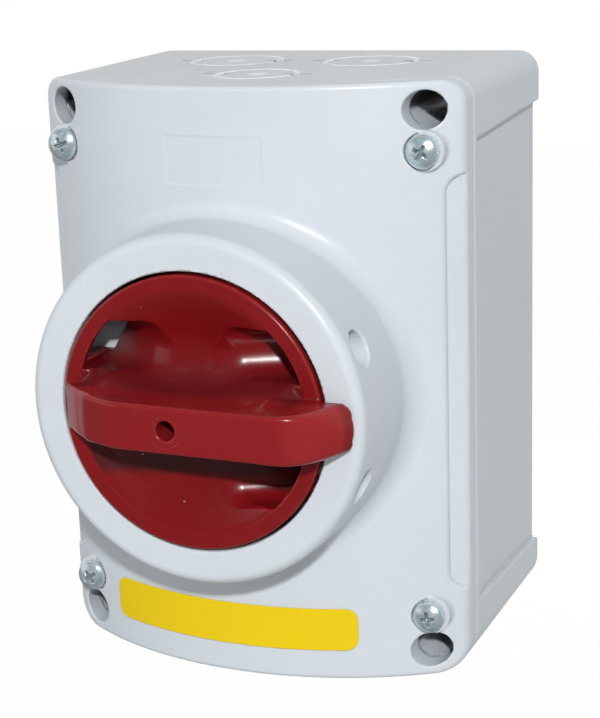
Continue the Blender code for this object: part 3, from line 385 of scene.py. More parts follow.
def knockoutCut(x, d, z):
    inward = belowEnd(d, z)
    sunk = np.maximum(inward, 0)
    groove = base["groove"]
    dimpleSink = base["dimpleSink"]
    cut = np.float32(farAway)
    for middle, depth, radius in base["knockouts"]:
        out = np.hypot(x - middle, d - depth)
        ring = np.hypot(out - radius + groove, sunk * groove / base["grooveSink"]) - groove
        dimple = np.hypot(out / base["dimple"], sunk / dimpleSink) * dimpleSink - dimpleSink
        cut = np.minimum(np.minimum(cut, ring), dimple)
    for tick in tickShapes(x, d):
        cut = np.minimum(cut, np.maximum(tick, inward - base["tickSink"]))
    return cut


def knockoutHighlight(x, d, z):  # painted highlight: 1 on the thinned rings, a little less on their centres
    paintedHighlight = np.zeros_like(x)
    outer, inner = (base["dimple"] + past for past in base["highlightCentre"])
    for middle, depth, radius in base["knockouts"]:
        out = np.hypot(x - middle, d - depth)
        ring = ease(*base["highlightRing"], np.abs(out - radius + base["groove"]))
        centre = base["centreShare"] * ease(outer, inner, out)
        paintedHighlight = np.maximum(paintedHighlight, np.maximum(ring, centre))
    return paintedHighlight * ease(*base["tintDepth"], belowEnd(d, z))


def baseGloom(x, d, z):  # painted shade in the marks beside the knock-outs, and down the fixing holes
    dark = np.zeros_like(x)
    for tick in tickShapes(x, d):
        dark = np.maximum(dark, ease(*base["tickGloom"], tick))
    return np.maximum(dark * ease(*base["tintDepth"], belowEnd(d, z)), holeGloom(x, d, z))


def baseShape(x, d, z):
    backWall = base["backWall"]
    body = both(outerSide(x, d, z), -d, base["backEdge"])
    body = both(body, bowed(x, d, wall["splitApex"], wall["splitRadius"]), base["splitEdge"])
    body = cutAway(body, np.maximum(cavity(x, z), backWall - d), base["cavityEdge"])
    panelHalf = base["panelBack"] - d * base["panelTaper"]
    sunk = wall["halfWidth"] - d * wall["lean"] - base["panelSink"]
    panel = np.maximum(np.maximum(np.abs(z) - panelHalf, d - base["panelFront"]), sunk - np.abs(x))
    body = cutAway(body, panel, base["panelEdge"])
    body = cutAway(body, knockoutCut(x, d, z), base["knockoutEdge"])
    for middle, up in base["floorBosses"]:
        out = np.hypot(x - middle, z - up)
        ends = np.maximum(d - base["floorBossTop"], backWall / 2 - d)
        body = join(body, np.maximum(out - base["floorBoss"], ends), base["bossFillet"])
        bottom = backWall + base["floorPilotEnd"]
        body = np.maximum(body, -np.maximum(out - base["floorPilot"], bottom - d))
    hole = fromCorners(x, z, wall["holeUp"])
    body = cutAway(body, np.maximum(hole - wall["holeRadius"], backWall - d), base["holeEdge"])
    body = cutAway(body, hole - wall["holeNeck"], base["holeEdge"])
    pilot = fromCorners(x, z, wall["screwUp"]) - wall["pilot"]
    return np.maximum(body, -np.maximum(pilot, wall["pilotBack"] - d))


def makeBase():
    margin = base["margin"]
    low = (-wall["halfWidth"] - margin, -margin, -wall["halfHeight"] - margin)
    high = (wall["halfWidth"] + margin, wall["splitApex"] + margin, wall["halfHeight"] + margin)
    # painted highlight on the knock-outs, and painted shade
    tints = {"paintedHighlight": knockoutHighlight, "gloom": baseGloom}
    piece = moulded("baseShell", baseShape, low, high, base["steps"], base["faces"], tints)
    return stand(piece, "enclosure", "grey_plastic", "base_box")


# Front cover with its collar
cover = {
    "topEdge": 1.2, "lowEdge": 1.3, "edgeChange": (-70.0, 60.0), "lipEdge": 0.4, "holeEdge": 0.4,
    "steps": (0.5, 0.5, 0.5), "faces": 130000, "margin": 1.5,
    "wall": 3.0, "innerFall": 21.2, "hollowEdge": 0.6, "skirtInside": 39.0,
    "collarRadius": 42.7, "collarFront": -coverLow.y / mm, "collarTaper": 0.025,
    "collarEdge": 2.6, "collarFillet": 4.2,
    "floorFront": -coverLow.y / mm - 15.1, "floorWall": 3.0, "recessRadius": 34.0, "recessEdge": 0.25,
    "bush": 10.9, "bushBore": 7.9, "bushLength": 5.5, "bushFillet": 0.5, "bushEdge": 0.3,
    "padlockUp": 16.5, "padlockDepth": -coverLow.y / mm - 7.9, "padlockRadius": 4.0, "padlockEdge": 0.5,
    "fluteHalf": 5.4, "fluteLength": 52.0, "fluteCorner": 4.5, "fluteSink": 0.9, "fluteEdge": 0.7,
    "seatDepth": -screwLow.y / mm - 3.4, "seatRadius": 4.4, "seatWall": 4.9,
    "seatFillet": 0.5, "seatEdge": 0.3,
    "plaque": (-1.0, 56.4, 12.6, 5.8),  # middle, then half its size
    "plaqueSink": 0.12, "plaqueCorner": 0.8, "plaqueFade": (0.3, -0.3),
    # painted shade on the upper wall of the recess
    "recessGloom": 0.7, "gloomAround": (0.8, 0.4), "gloomBelow": (2.0, 5.0), "gloomFloor": 1.0,
    "gloomUp": (15.0, 18.0),
}
cover["innerRadius"] = bowRadius(cover["innerFall"])


def frontFace(x, d, z):  # bowed front with a blank plaque sunk into it
    middleX, middleZ, halfX, halfZ = cover["plaque"]
    plaque = roundRect(x - middleX, z - middleZ, halfX, halfZ, cover["plaqueCorner"])
    sunk = cover["plaqueSink"] * ease(*cover["plaqueFade"], plaque)
    return bowed(x, d, wall["frontApex"], wall["frontRadius"]) + sunk


def coverShape(x, d, z):
    front = frontFace(x, d, z)
    radius = np.hypot(x, z)
    edge = cover["lowEdge"] + (cover["topEdge"] - cover["lowEdge"]) * ease(*cover["edgeChange"], z)
    body = both(outerSide(x, d, z), front, edge)
    taper = (cover["collarFront"] - d) * cover["collarTaper"]
    collar = both(radius - cover["collarRadius"] - taper, d - cover["collarFront"], cover["collarEdge"])
    body = join(body, collar, cover["collarFillet"])
    split = bowed(x, d, wall["splitApex"] + wall["splitGap"], wall["splitRadius"])
    body = cutAway(body, split, cover["lipEdge"])
    hollow = np.maximum(cavity(x, z), bowed(x, d, wall["frontApex"] - cover["wall"], cover["innerRadius"]))
    floorBack = cover["floorFront"] - cover["floorWall"]
    hollow = np.minimum(hollow, np.maximum(radius - cover["skirtInside"], d - floorBack))
    body = cutAway(body, hollow, cover["hollowEdge"])
    bushBack = cover["floorFront"] - cover["bushLength"]
    bush = np.maximum(np.maximum(radius - cover["bush"], bushBack - d), d - cover["floorFront"])
    body = join(body, bush, cover["bushFillet"])
    recess = np.maximum(radius - cover["recessRadius"], cover["floorFront"] - d)
    body = cutAway(body, recess, cover["recessEdge"])
    body = cutAway(body, radius - cover["bushBore"], cover["bushEdge"])
    aside = np.abs(x) - wall["halfWidth"]
    flute = roundRect(aside, z, cover["fluteHalf"], cover["fluteLength"], cover["fluteCorner"])
    body = cutAway(body, np.maximum(flute, -front - cover["fluteSink"]), cover["fluteEdge"])
    seat = fromCorners(x, z, wall["screwUp"])
    stub = np.maximum(np.maximum(seat - cover["seatWall"], d - cover["seatDepth"]), -split)
    body = join(body, stub, cover["seatFillet"])
    body = cutAway(body, np.maximum(seat - cover["seatRadius"], cover["seatDepth"] - d), cover["seatEdge"])
    body = np.maximum(body, wall["pilot"] - seat)
    hole = fromCorners(x, z, wall["holeUp"]) - wall["holeRadius"]
    body = cutAway(body, hole, cover["holeEdge"])
    shackle = np.hypot(np.abs(z) - cover["padlockUp"], d - cover["padlockDepth"]) - cover["padlockRadius"]
    return cutAway(body, shackle, cover["padlockEdge"])


def coverGloom(x, d, z):  # painted shade down the fixing holes, and on the upper wall of the recess behind the handle's disc
    shallow, deep = (cover["collarFront"] - down for down in cover["gloomBelow"])
    floor = cover["floorFront"]
    sunk = ease(shallow, deep, d) * ease(floor - cover["gloomFloor"], floor, d)
    outer, inner = (cover["recessRadius"] + past for past in cover["gloomAround"])
    recess = ease(outer, inner, np.hypot(x, z)) * sunk
    return np.maximum(holeGloom(x, d, z), cover["recessGloom"] * recess * ease(*cover["gloomUp"], z))


def makeCover():
    low, high = roomFor(coverLow, coverHigh, cover["margin"])
    tints = {"gloom": coverGloom}
    piece = moulded("coverShell", coverShape, low, high, cover["steps"], cover["faces"], tints)
    return stand(piece, "enclosure", "grey_plastic", "front_cover")


# Rotary handle: a dished disc with a raised grip bar. Shackle ways, two above the bar and one below it
# on the right, deepen outwards to windows. Depths are measured from the front of the disc.
handle = {
    "radius": handleHigh.z / mm - 0.1, "front": -coverLow.y / mm + 0.8, "back": -14.7,
    "edge": 0.7, "backEdge": 0.4, "steps": (0.36, 0.36, 0.36), "faces": 110000, "margin": 1.23,
    "rimRadius": 29.4, "rimEdge": 0.5, "dishSlope": 0.40,
    "wayUp": 16.1, "wayHalf": 5.2, "wayLean": 1.35, "wayFloor": 2.5, "wayFall": 0.46, "wayDrop": (4.0, 5.0),
    "wayWaist": 2.0, "wayOuter": (0.6, 2.2), "wayInner": 3.0, "wayEnd": 0.5,
    "wayBlend": (-2.0, 2.5), "wayEndBlend": (28.5, 24.0),
    "windowInside": 27.8, "windowUp": (11.0, 21.1), "windowDown": (11.0, 17.0), "windowAcross": 8.0,
    "windowEdge": 0.3, "bridge": 2.0,
    "barLeft": -32.4, "barRight": handleHigh.x / mm, "barFront": -handleLow.y / mm, "barTilt": 1.4,
    "barFlatLeft": -11.0, "barFlatRight": 25.0, "barFallLeft": 1.8, "barFallRight": 2.6, "barPast": 1.3,
    "barFoot": 0.25, "footInside": 1.5, "barHalf": 5.7, "barSwell": 0.3, "swellReach": (20.0, 38.0),
    "barEdge": 1.1, "barEndRound": 1.0, "barEndCorner": 2.2, "endCornerReach": (28.0, 38.0),
    "root": 14.0, "rootEnd": 0.6, "rootReach": (30.0, 22.0),
    "hub": 7.5, "hubBack": -24.0, "hubTop": -12.0,
    "sealGroove": (-17.9, -15.7, 6.5), "clipGroove": (-22.7, -21.1, 6.0),  # both ends, then the radius
    "socket": 3.3, "socketTop": -5.5, "screwWay": 2.35, "screwWayBack": -5.8, "countersink": 0.45,
    "ring": 3.8, "ringHalf": 0.25, "ringSink": 0.1, "ringFade": (0.25, -0.1), "ringDepth": (2.0, 1.0),
    # painted shade beside the bar, a painted shadow below it, and painted shade deep in the ways
    "rimFade": (28.6, 29.6), "offBar": (-0.3, 0.2), "deepGloom": 0.6, "deepFade": (-8.0, -12.0),
    "aboveGloom": 0.42, "aboveUp": (14.7, 6.2), "aboveFront": (7.0, 2.0),
    "belowGloom": 0.72, "belowDown": (17.5, 14.5), "belowFront": (12.0, 8.0),
    # painted sheen with some rub wear
    "barRubAndSheen": 0.45, "endRubAndSheen": 0.5, "rimRubAndSheen": 0.12, "rubSheenFront": (1.5, 4.0),
    "rubSheenRight": (26.0, 36.0), "rubSheenLeft": (-22.0, -28.0),
}


def gripBar(x, d, z):  # d from the disc's front
    up = np.abs(z)
    front = handle["barFront"] - handle["front"]
    share = (x - handle["barFlatLeft"]) / (handle["barFlatRight"] - handle["barFlatLeft"])
    top = front - handle["barTilt"] * (1 - np.clip(share, 0, 1))
    rightEnd = handle["barRight"] - handle["barEndRound"] * (up / handle["barHalf"]) ** 2
    leftLength = handle["barFlatLeft"] - handle["barLeft"]
    rightLength = rightEnd - handle["barFlatRight"]
    left = np.clip((handle["barFlatLeft"] - x) / leftLength, 0, handle["barPast"])
    right = np.clip((x - handle["barFlatRight"]) / rightLength, 0, handle["barPast"])
    powerLeft, powerRight = handle["barFallLeft"], handle["barFallRight"]
    rise = top - handle["barFoot"]
    line = top - rise * (left ** powerLeft + right ** powerRight)
    slopeLeft = powerLeft * left ** (powerLeft - 1) / leftLength
    slopeRight = powerRight * right ** (powerRight - 1) / rightLength
    slope = rise * (slopeLeft + slopeRight)
    face = (d - line) / np.sqrt(1 + slope ** 2)
    half = handle["barHalf"] + handle["barSwell"] * ease(*handle["swellReach"], x)
    atEnd = ease(*handle["endCornerReach"], x)
    rounding = handle["barEdge"] + (handle["barEndCorner"] - handle["barEdge"]) * atEnd
    bar = both(up - half, face, rounding)
    ring = np.abs(np.hypot(x, z) - handle["ring"]) - handle["ringHalf"]
    onFace = ease(*handle["ringDepth"], np.abs(face))
    bar = bar + handle["ringSink"] * ease(*handle["ringFade"], ring) * onFace
    foot = np.where(x > handle["radius"] - handle["footInside"], handle["barFoot"], handle["hubTop"])
    outOfDisc = np.hypot(x, z) - handle["radius"] + handle["edge"]
    within = np.where(x < 0, outOfDisc, -farAway)  # no further left than the disc
    return np.maximum(np.maximum(bar, foot - d), within)


def shackleWay(x, d, z, radius):  # channels that deepen outwards, two above the bar and one below
    across = np.where(z > 0, np.hypot(x, handle["wayWaist"]), x)
    half = handle["wayHalf"]
    drop, length = handle["wayDrop"]
    deeper = drop * (1 - np.exp(-np.maximum(across, 0) / length))
    floor = handle["wayFloor"] - handle["wayFall"] * across - deeper
    aside = np.abs(z) - handle["wayUp"]
    aside = np.where(aside < 0, aside / handle["wayLean"], aside)  # wider towards the bar
    channel = np.hypot(aside, np.minimum(d - floor - half, 0)) - half
    return np.maximum(np.maximum(channel, radius - handle["rimRadius"]), -across)


def wayEdge(z, radius):  # crisp on the dish's side, soft towards the bar
    outer = np.where(z > 0, *handle["wayOuter"])
    outward = ease(*handle["wayBlend"], np.abs(z) - handle["wayUp"])
    edge = handle["wayInner"] + (outer - handle["wayInner"]) * outward
    return handle["wayEnd"] + (edge - handle["wayEnd"]) * ease(*handle["wayEndBlend"], radius)


def shackleWindow(x, d, z, radius):  # open to the back, and to the side under the rim
    outward = np.where(z > 0, np.abs(x), x)
    low, high = (np.where(z > 0, *pair) for pair in zip(handle["windowUp"], handle["windowDown"]))
    slot = np.abs(np.abs(z) - (low + high) / 2) - (high - low) / 2
    slot = np.maximum(slot, handle["windowAcross"] - outward)
    slot = np.maximum(slot, handle["windowInside"] - radius)
    return np.maximum(slot, np.minimum(radius - handle["rimRadius"], d + handle["bridge"]))


def handleShape(x, depth, z):
    d = depth - handle["front"]
    up = np.abs(z)
    radius = np.hypot(x, z)
    body = both(radius - handle["radius"], d, handle["edge"])
    body = both(body, handle["back"] - d, handle["backEdge"])
    dish = handle["dishSlope"] * (radius - handle["rimRadius"])
    body = cutAway(body, np.maximum(radius - handle["rimRadius"], dish - d), handle["rimEdge"])
    root = handle["rootEnd"] + (handle["root"] - handle["rootEnd"]) * ease(*handle["rootReach"], radius)
    body = join(body, gripBar(x, d, z), root)
    body = cutAway(body, shackleWay(x, d, z, radius), wayEdge(z, radius))
    body = cutAway(body, shackleWindow(x, d, z, radius), handle["windowEdge"])
    hub = np.maximum(radius - handle["hub"], np.maximum(handle["hubBack"] - d, d - handle["hubTop"]))
    for start, stop, bottom in (handle["sealGroove"], handle["clipGroove"]):
        hub = np.maximum(hub, -np.maximum(np.maximum(start - d, d - stop), bottom - radius))
    body = np.minimum(body, hub)
    socket = np.maximum(np.maximum(np.abs(x), up) - handle["socket"], d - handle["socketTop"])
    body = np.maximum(body, -socket)
    screwWay = np.maximum(radius - handle["screwWay"], handle["screwWayBack"] - d)
    return cutAway(body, screwWay, handle["countersink"])


def handleGloom(x, depth, z):  # painted shade in the corners beside the bar, a painted shadow below it, and painted shade deep in the ways
    d = depth - handle["front"]
    radius = np.hypot(x, z)
    above = handle["aboveGloom"] * ease(*handle["aboveUp"], z) * ease(*handle["aboveFront"], d)
    below = handle["belowGloom"] * ease(*handle["belowDown"], -z) * ease(*handle["belowFront"], d)
    inner, outer = (handle["barHalf"] + past for past in handle["offBar"])
    inRim = ease(*handle["rimFade"][::-1], radius)
    beside = np.where(z > 0, above, below) * ease(inner, outer, np.abs(z)) * inRim
    return np.maximum(beside, handle["deepGloom"] * ease(*handle["deepFade"], d))


def handleRubAndSheen(x, depth, z):  # painted sheen with some rub wear: lighter on the bar, most at its ends, and a little on the rim
    d = depth - handle["front"]
    ends = np.maximum(ease(*handle["rubSheenRight"], x), ease(*handle["rubSheenLeft"], x))
    bar = ease(*handle["rubSheenFront"], d) * (handle["barRubAndSheen"] + handle["endRubAndSheen"] * ends)
    return np.maximum(bar, handle["rimRubAndSheen"] * ease(*handle["rimFade"], np.hypot(x, z)))


def makeHandle():
    low, high = roomFor(handleLow, handleHigh, handle["margin"])
    # painted shade, and painted sheen with some rub wear
    tints = {"gloom": handleGloom, "rubAndSheen": handleRubAndSheen}
    piece = moulded("turnHandle", handleShape, low, high, handle["steps"], handle["faces"], tints)
    return stand(piece, "handle", "red_plastic", "rotary_handle")


# Cover screws: pan heads with a tapered cross recess, each stopped at its own angle
screw = {
    "radius": 4.0, "height": 3.1, "dome": 6.4, "edge": 0.35, "footEdge": 0.15, "shank": 1.9, "overlap": 0.5,
    "steps": (0.13, 0.13, 0.13), "faces": 16000, "margin": 0.5, "backMargin": 0.4,
    "arm": 2.3, "slot": 0.52, "sink": 1.5, "centre": 0.95, "recessEdge": 0.12,
    "taper": 0.55, "slotTaper": 0.3, "armTaper": 2, "centreTaper": 0.6,
    "angles": {"cover_screw_1": 20.0, "cover_screw_2": 62.0, "cover_screw_3": 33.0, "cover_screw_4": 8.0},
}


def makeScrew(node):
    low, high = (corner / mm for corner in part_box(node))
    middle = (low + high) / 2
    top = -low.y
    turn = math.radians(screw["angles"][node])

    def shape(x, d, z):
        u = (x - middle.x) * math.cos(turn) + (z - middle.z) * math.sin(turn)
        v = (z - middle.z) * math.cos(turn) - (x - middle.x) * math.sin(turn)
        below = top - d
        radius = np.hypot(u, v)
        dome = np.hypot(radius, below - screw["dome"]) - screw["dome"]
        head = both(radius - screw["radius"], dome, screw["edge"])
        head = both(head, below - screw["height"], screw["footEdge"])
        narrow = below / screw["sink"] * screw["taper"]
        recess = radius - screw["centre"] + narrow * screw["centreTaper"]
        for across, along in ((u, v), (v, u)):
            side = np.abs(across) - screw["slot"] + narrow * screw["slotTaper"]
            end = np.abs(along) - screw["arm"] + narrow * screw["armTaper"]
            recess = np.minimum(recess, np.maximum(side, end))
        recess = np.maximum(recess, below - screw["sink"])
        head = cutAway(head, recess, screw["recessEdge"])
        shank = np.maximum(radius - screw["shank"], below - (high.y - low.y))
        return np.minimum(head, np.maximum(shank, screw["height"] - screw["overlap"] - below))

    reach = screw["radius"] + screw["margin"]
    start = (middle.x - reach, -high.y - screw["backMargin"], middle.z - reach)
    stop = (middle.x + reach, top + screw["margin"], middle.z + reach)
    name = "coverScrew" + node[-1]
    piece = moulded(name, shape, start, stop, screw["steps"], screw["faces"], {})
    return stand(piece, "enclosure", "zinc_steel", node)


# Label: a bare bowed plate
label = {
    "lift": 0.06, "thickness": 0.5, "corner": 3.0, "raise": 1.4, "edge": 0.14,
    "steps": (0.4, 0.13, 0.35), "faces": 9000, "margin": 0.8,
}


def plateShape(x, d, z):
    low = labelLow / mm + Vector((0, 0, label["raise"]))
    high = labelHigh / mm
    back = bowed(x, d, wall["frontApex"] + label["lift"], wall["frontRadius"])
    aside = x - (low.x + high.x) / 2
    up = z - (low.z + high.z) / 2
    outline = roundRect(aside, up, (high.x - low.x) / 2, (high.z - low.z) / 2, label["corner"])
    return both(both(back - label["thickness"], -back, label["edge"]), outline, label["edge"])


def makeLabel():
    low, high = roomFor(labelLow, labelHigh, label["margin"])
    tints = {"bend": lambda x, d, z: bendOf(plateShape, np.stack((x, d, z), 1), label["edge"])}
    piece = moulded("labelPlate", plateShape, low, high, label["steps"], label["faces"], tints)
    return stand(piece, "enclosure", "yellow_plastic", "label_plate")


# Finishes: one node tree per material slot, in metres of the object's own space
def addNode(tree, kind, links, **settings):
    node = tree.nodes.new(kind)
    for key, value in settings.items():
        setattr(node, key, value)
    for socket, value in links.items():
        if isinstance(value, bpy.types.NodeSocket):
            tree.links.new(value, node.inputs[socket])
        else:
            node.inputs[socket].default_value = value
    return node


def noiseOf(tree, place, scale, detail):
    links = {"Vector": place, "Scale": scale, "Detail": detail}
    return addNode(tree, "ShaderNodeTexNoise", links).outputs["Fac"]


def remap(tree, value, fromLow, fromHigh, toLow, toHigh):
    links = {"Value": value, "From Min": fromLow, "From Max": fromHigh, "To Min": toLow, "To Max": toHigh}
    return addNode(tree, "ShaderNodeMapRange", links).outputs["Result"]


def multiply(tree, a, b):
    return addNode(tree, "ShaderNodeMath", {0: a, 1: b}, operation="MULTIPLY").outputs[0]


def larger(tree, a, b):
    return addNode(tree, "ShaderNodeMath", {0: a, 1: b}, operation="MAXIMUM").outputs[0]


def blended(tree, factor, a, b):
    links = {"Factor": factor, "A": a, "B": b}
    node = tree.nodes.new("ShaderNodeMix")
    node.data_type = "RGBA"
    for name, value in links.items():
        socket = next(s for s in node.inputs if s.name == name and s.enabled)
        if isinstance(value, bpy.types.NodeSocket):
            tree.links.new(value, socket)
        else:
            socket.default_value = value
    return next(s for s in node.outputs if s.enabled)


def attribute(tree, name):
    return addNode(tree, "ShaderNodeAttribute", {}, attribute_name=name).outputs["Fac"]


def colour(values):
    return (*values, 1.0)


finishes = {
    "grey_plastic": {
        "colour": (0.62, 0.67, 0.712), "other": (0.595, 0.64, 0.672), "edge": (0.68, 0.72, 0.75),
        "hollow": (0.50, 0.53, 0.55), "speck": (0.30, 0.31, 0.31), "speckSize": 0.04, "speckScale": 260,
        "patch": 22, "grain": 2600, "bump": 0.05, "rough": (0.27, 0.34), "metal": 0, "specular": 0.3,
    },
    "red_plastic": {
        "colour": (0.192, 0.005, 0.007), "other": (0.178, 0.004, 0.006), "edge": (0.31, 0.018, 0.021),
        "hollow": (0.12, 0.003, 0.004), "speck": (0.62, 0.5, 0.48), "speckSize": 0.05, "speckScale": 300,
        "patch": 45, "grain": 900, "bump": 0.02, "rough": (0.20, 0.29), "metal": 0, "specular": 0.35,
    },
    "yellow_plastic": {
        "colour": (0.80, 0.575, 0.006), "other": (0.79, 0.56, 0.006), "edge": (0.85, 0.66, 0.05),
        "hollow": (0.7, 0.47, 0.01), "speck": (0.25, 0.17, 0.02), "speckSize": 0.04, "speckScale": 300,
        "patch": 60, "grain": 3000, "bump": 0.03, "rough": (0.38, 0.5), "metal": 0, "specular": 0.15,
    },
    "black_plastic": {
        "colour": (0.022, 0.022, 0.024), "other": (0.032, 0.032, 0.033), "edge": (0.05, 0.05, 0.05),
        "hollow": (0.02, 0.02, 0.02), "speck": (0.1, 0.1, 0.1), "speckSize": 0.04, "speckScale": 260,
        "patch": 60, "grain": 2200, "bump": 0.06, "rough": (0.45, 0.6), "metal": 0, "specular": 0.5,
    },
    "rotor_plastic": {
        "colour": (0.55, 0.53, 0.48), "other": (0.5, 0.47, 0.41), "edge": (0.6, 0.58, 0.54),
        "hollow": (0.4, 0.37, 0.3), "speck": (0.2, 0.17, 0.13), "speckSize": 0.05, "speckScale": 280,
        "patch": 70, "grain": 2400, "bump": 0.05, "rough": (0.42, 0.55), "metal": 0, "specular": 0.5,
    },
    "dark_rubber": {
        "colour": (0.028, 0.028, 0.029), "other": (0.042, 0.041, 0.04), "edge": (0.05, 0.05, 0.05),
        "hollow": (0.02, 0.02, 0.02), "speck": (0.12, 0.11, 0.1), "speckSize": 0.05, "speckScale": 300,
        "patch": 120, "grain": 1800, "bump": 0.1, "rough": (0.65, 0.82), "metal": 0, "specular": 0.4,
    },
    "zinc_steel": {
        "colour": (0.64, 0.73, 0.75), "other": (0.40, 0.53, 0.60), "edge": (0.78, 0.81, 0.83),
        "hollow": (0.24, 0.27, 0.30), "speck": (0.16, 0.15, 0.14), "speckSize": 0.06, "speckScale": 900,
        "patch": 420, "grain": 3200, "bump": 0.08, "rough": (0.16, 0.34), "metal": 0.6, "specular": 0.5,
    },
    "spring_steel": {
        "colour": (0.44, 0.44, 0.45), "other": (0.34, 0.35, 0.37), "edge": (0.6, 0.6, 0.6),
        "hollow": (0.2, 0.2, 0.2), "speck": (0.2, 0.15, 0.1), "speckSize": 0.05, "speckScale": 700,
        "patch": 260, "grain": 2600, "bump": 0.05, "rough": (0.25, 0.4), "metal": 1, "specular": 0.5,
    },
    "copper_alloy": {
        "colour": (0.74, 0.43, 0.25), "other": (0.58, 0.31, 0.17), "edge": (0.85, 0.58, 0.4),
        "hollow": (0.3, 0.16, 0.1), "speck": (0.2, 0.11, 0.07), "speckSize": 0.06, "speckScale": 600,
        "patch": 180, "grain": 2600, "bump": 0.06, "rough": (0.26, 0.44), "metal": 1, "specular": 0.5,
    },
    "brass": {
        "colour": (0.71, 0.54, 0.22), "other": (0.58, 0.42, 0.15), "edge": (0.85, 0.7, 0.4),
        "hollow": (0.3, 0.22, 0.1), "speck": (0.2, 0.15, 0.06), "speckSize": 0.06, "speckScale": 600,
        "patch": 200, "grain": 2600, "bump": 0.06, "rough": (0.24, 0.42), "metal": 1, "specular": 0.5,
    },
}
wearAndPaintedLight = {  # what the finishes share, wear and painted light alike; a span of four is two limits of a value and what they become
    "patchDetail": 4.0, "patches": (0.35, 0.7, 0.0, 1.0), "raggedScale": 9, "raggedDetail": 3.0,
    "edgeBend": (0.25, 1.0, 0.0, 0.8), "edgeGaps": (0.4, 0.65, 0.2, 1.0),
    "hollowBend": (-0.2, -1.1, 0.0, 0.75), "hollowGaps": (0.35, 0.6, 0.35, 1.0),
    # painted highlight on the knock-outs, and its colour
    "paintedHighlight": (0.0, 1.0, 0.0, 0.85), "paintedHighlightColour": (0.93, 0.95, 0.95),
    # painted shade, and its colour
    "gloom": (0.0, 1.0, 0.0, 0.93), "gloomColour": (0.012, 0.012, 0.014),
    "speckScale": 0.35, "speckDetail": 1.0, "speckChosen": (0.66, 0.72, 0.0, 1.0),
    "speckFade": 1.8, "speckShare": 0.8,
    "smearScale": 2.6, "smearDetail": 2.0, "smears": (0.2, 0.8), "grainDetail": 2.0, "bumpDepth": 0.0004,
}


def makeFinish(name, look):
    material = bpy.data.materials.new(name)
    material.use_nodes = True
    tree = material.node_tree
    shader = tree.nodes["Principled BSDF"]
    place = addNode(tree, "ShaderNodeTexCoord", {}).outputs["Object"]
    patches = noiseOf(tree, place, look["patch"], wearAndPaintedLight["patchDetail"])
    patched = remap(tree, patches, *wearAndPaintedLight["patches"])
    shade = blended(tree, patched, colour(look["colour"]), colour(look["other"]))
    bend = attribute(tree, "bend")
    ragged = noiseOf(tree, place, look["patch"] * wearAndPaintedLight["raggedScale"], wearAndPaintedLight["raggedDetail"])
    # lighter towards the edge colour along convex edges, broken up by noise
    lighterOnEdges = multiply(tree, remap(tree, bend, *wearAndPaintedLight["edgeBend"]), remap(tree, ragged, *wearAndPaintedLight["edgeGaps"]))
    shade = blended(tree, lighterOnEdges, shade, colour(look["edge"]))
    # painted sheen with some rub wear, lighter towards the edge colour
    shade = blended(tree, attribute(tree, "rubAndSheen"), shade, colour(look["edge"]))
    # darker towards the hollow colour in concave corners, broken up by noise
    darkerInHollows = multiply(tree, remap(tree, bend, *wearAndPaintedLight["hollowBend"]), remap(tree, ragged, *wearAndPaintedLight["hollowGaps"]))
    shade = blended(tree, darkerInHollows, shade, colour(look["hollow"]))
    # painted highlight on the knock-outs, then painted shade, each towards its own colour
    for tint in ("paintedHighlight", "gloom"):
        share = remap(tree, attribute(tree, tint), *wearAndPaintedLight[tint])
        shade = blended(tree, share, shade, colour(wearAndPaintedLight[tint + "Colour"]))
    links = {"Vector": place, "Scale": look["speckScale"]}
    cells = addNode(tree, "ShaderNodeTexVoronoi", links).outputs["Distance"]
    places = noiseOf(tree, place, look["speckScale"] * wearAndPaintedLight["speckScale"], wearAndPaintedLight["speckDetail"])
    chosen = remap(tree, places, *wearAndPaintedLight["speckChosen"])
    size = look["speckSize"]
    speck = multiply(tree, remap(tree, cells, size, size * wearAndPaintedLight["speckFade"], 1.0, 0.0), chosen)
    shade = blended(tree, multiply(tree, speck, wearAndPaintedLight["speckShare"]), shade, colour(look["speck"]))
    tree.links.new(shade, shader.inputs["Base Color"])
    smears = noiseOf(tree, place, look["patch"] * wearAndPaintedLight["smearScale"], wearAndPaintedLight["smearDetail"])
    tree.links.new(remap(tree, smears, *wearAndPaintedLight["smears"], *look["rough"]), shader.inputs["Roughness"])
    shader.inputs["Metallic"].default_value = look["metal"]
    shader.inputs["Specular IOR Level"].default_value = look["specular"]
    grain = noiseOf(tree, place, look["grain"], wearAndPaintedLight["grainDetail"])
    links = {"Height": grain, "Strength": look["bump"], "Distance": wearAndPaintedLight["bumpDepth"]}
    bump = addNode(tree, "ShaderNodeBump", links)
    tree.links.new(bump.outputs["Normal"], shader.inputs["Normal"])
    return material


# Camera at the photograph's viewing angle
camera = {
    "place": (0.16939, -0.449064, 0.113924), "pitch": -14.829, "yaw": 22.302, "roll": 1.947,
    "lens": 85.7546, "sensor": 36.0, "nearest": 0.01,
}


def makeCamera():
    data = bpy.data.cameras.new("photoCamera")
    data.lens = camera["lens"]
    data.sensor_width = camera["sensor"]
    data.clip_start = camera["nearest"]
    piece = bpy.data.objects.new("photoCamera", data)
    bpy.context.scene.collection.objects.link(piece)
    yaw = Matrix.Rotation(math.radians(camera["yaw"]), 4, "Z")
    pitch = Matrix.Rotation(math.radians(camera["pitch"]), 4, "X")
    roll = Matrix.Rotation(math.radians(camera["roll"]), 4, "Y")
    upright = Matrix.Rotation(math.radians(90), 4, "X")
    piece.matrix_world = Matrix.Translation(camera["place"]) @ yaw @ pitch @ roll @ upright
    bpy.context.scene.camera = piece


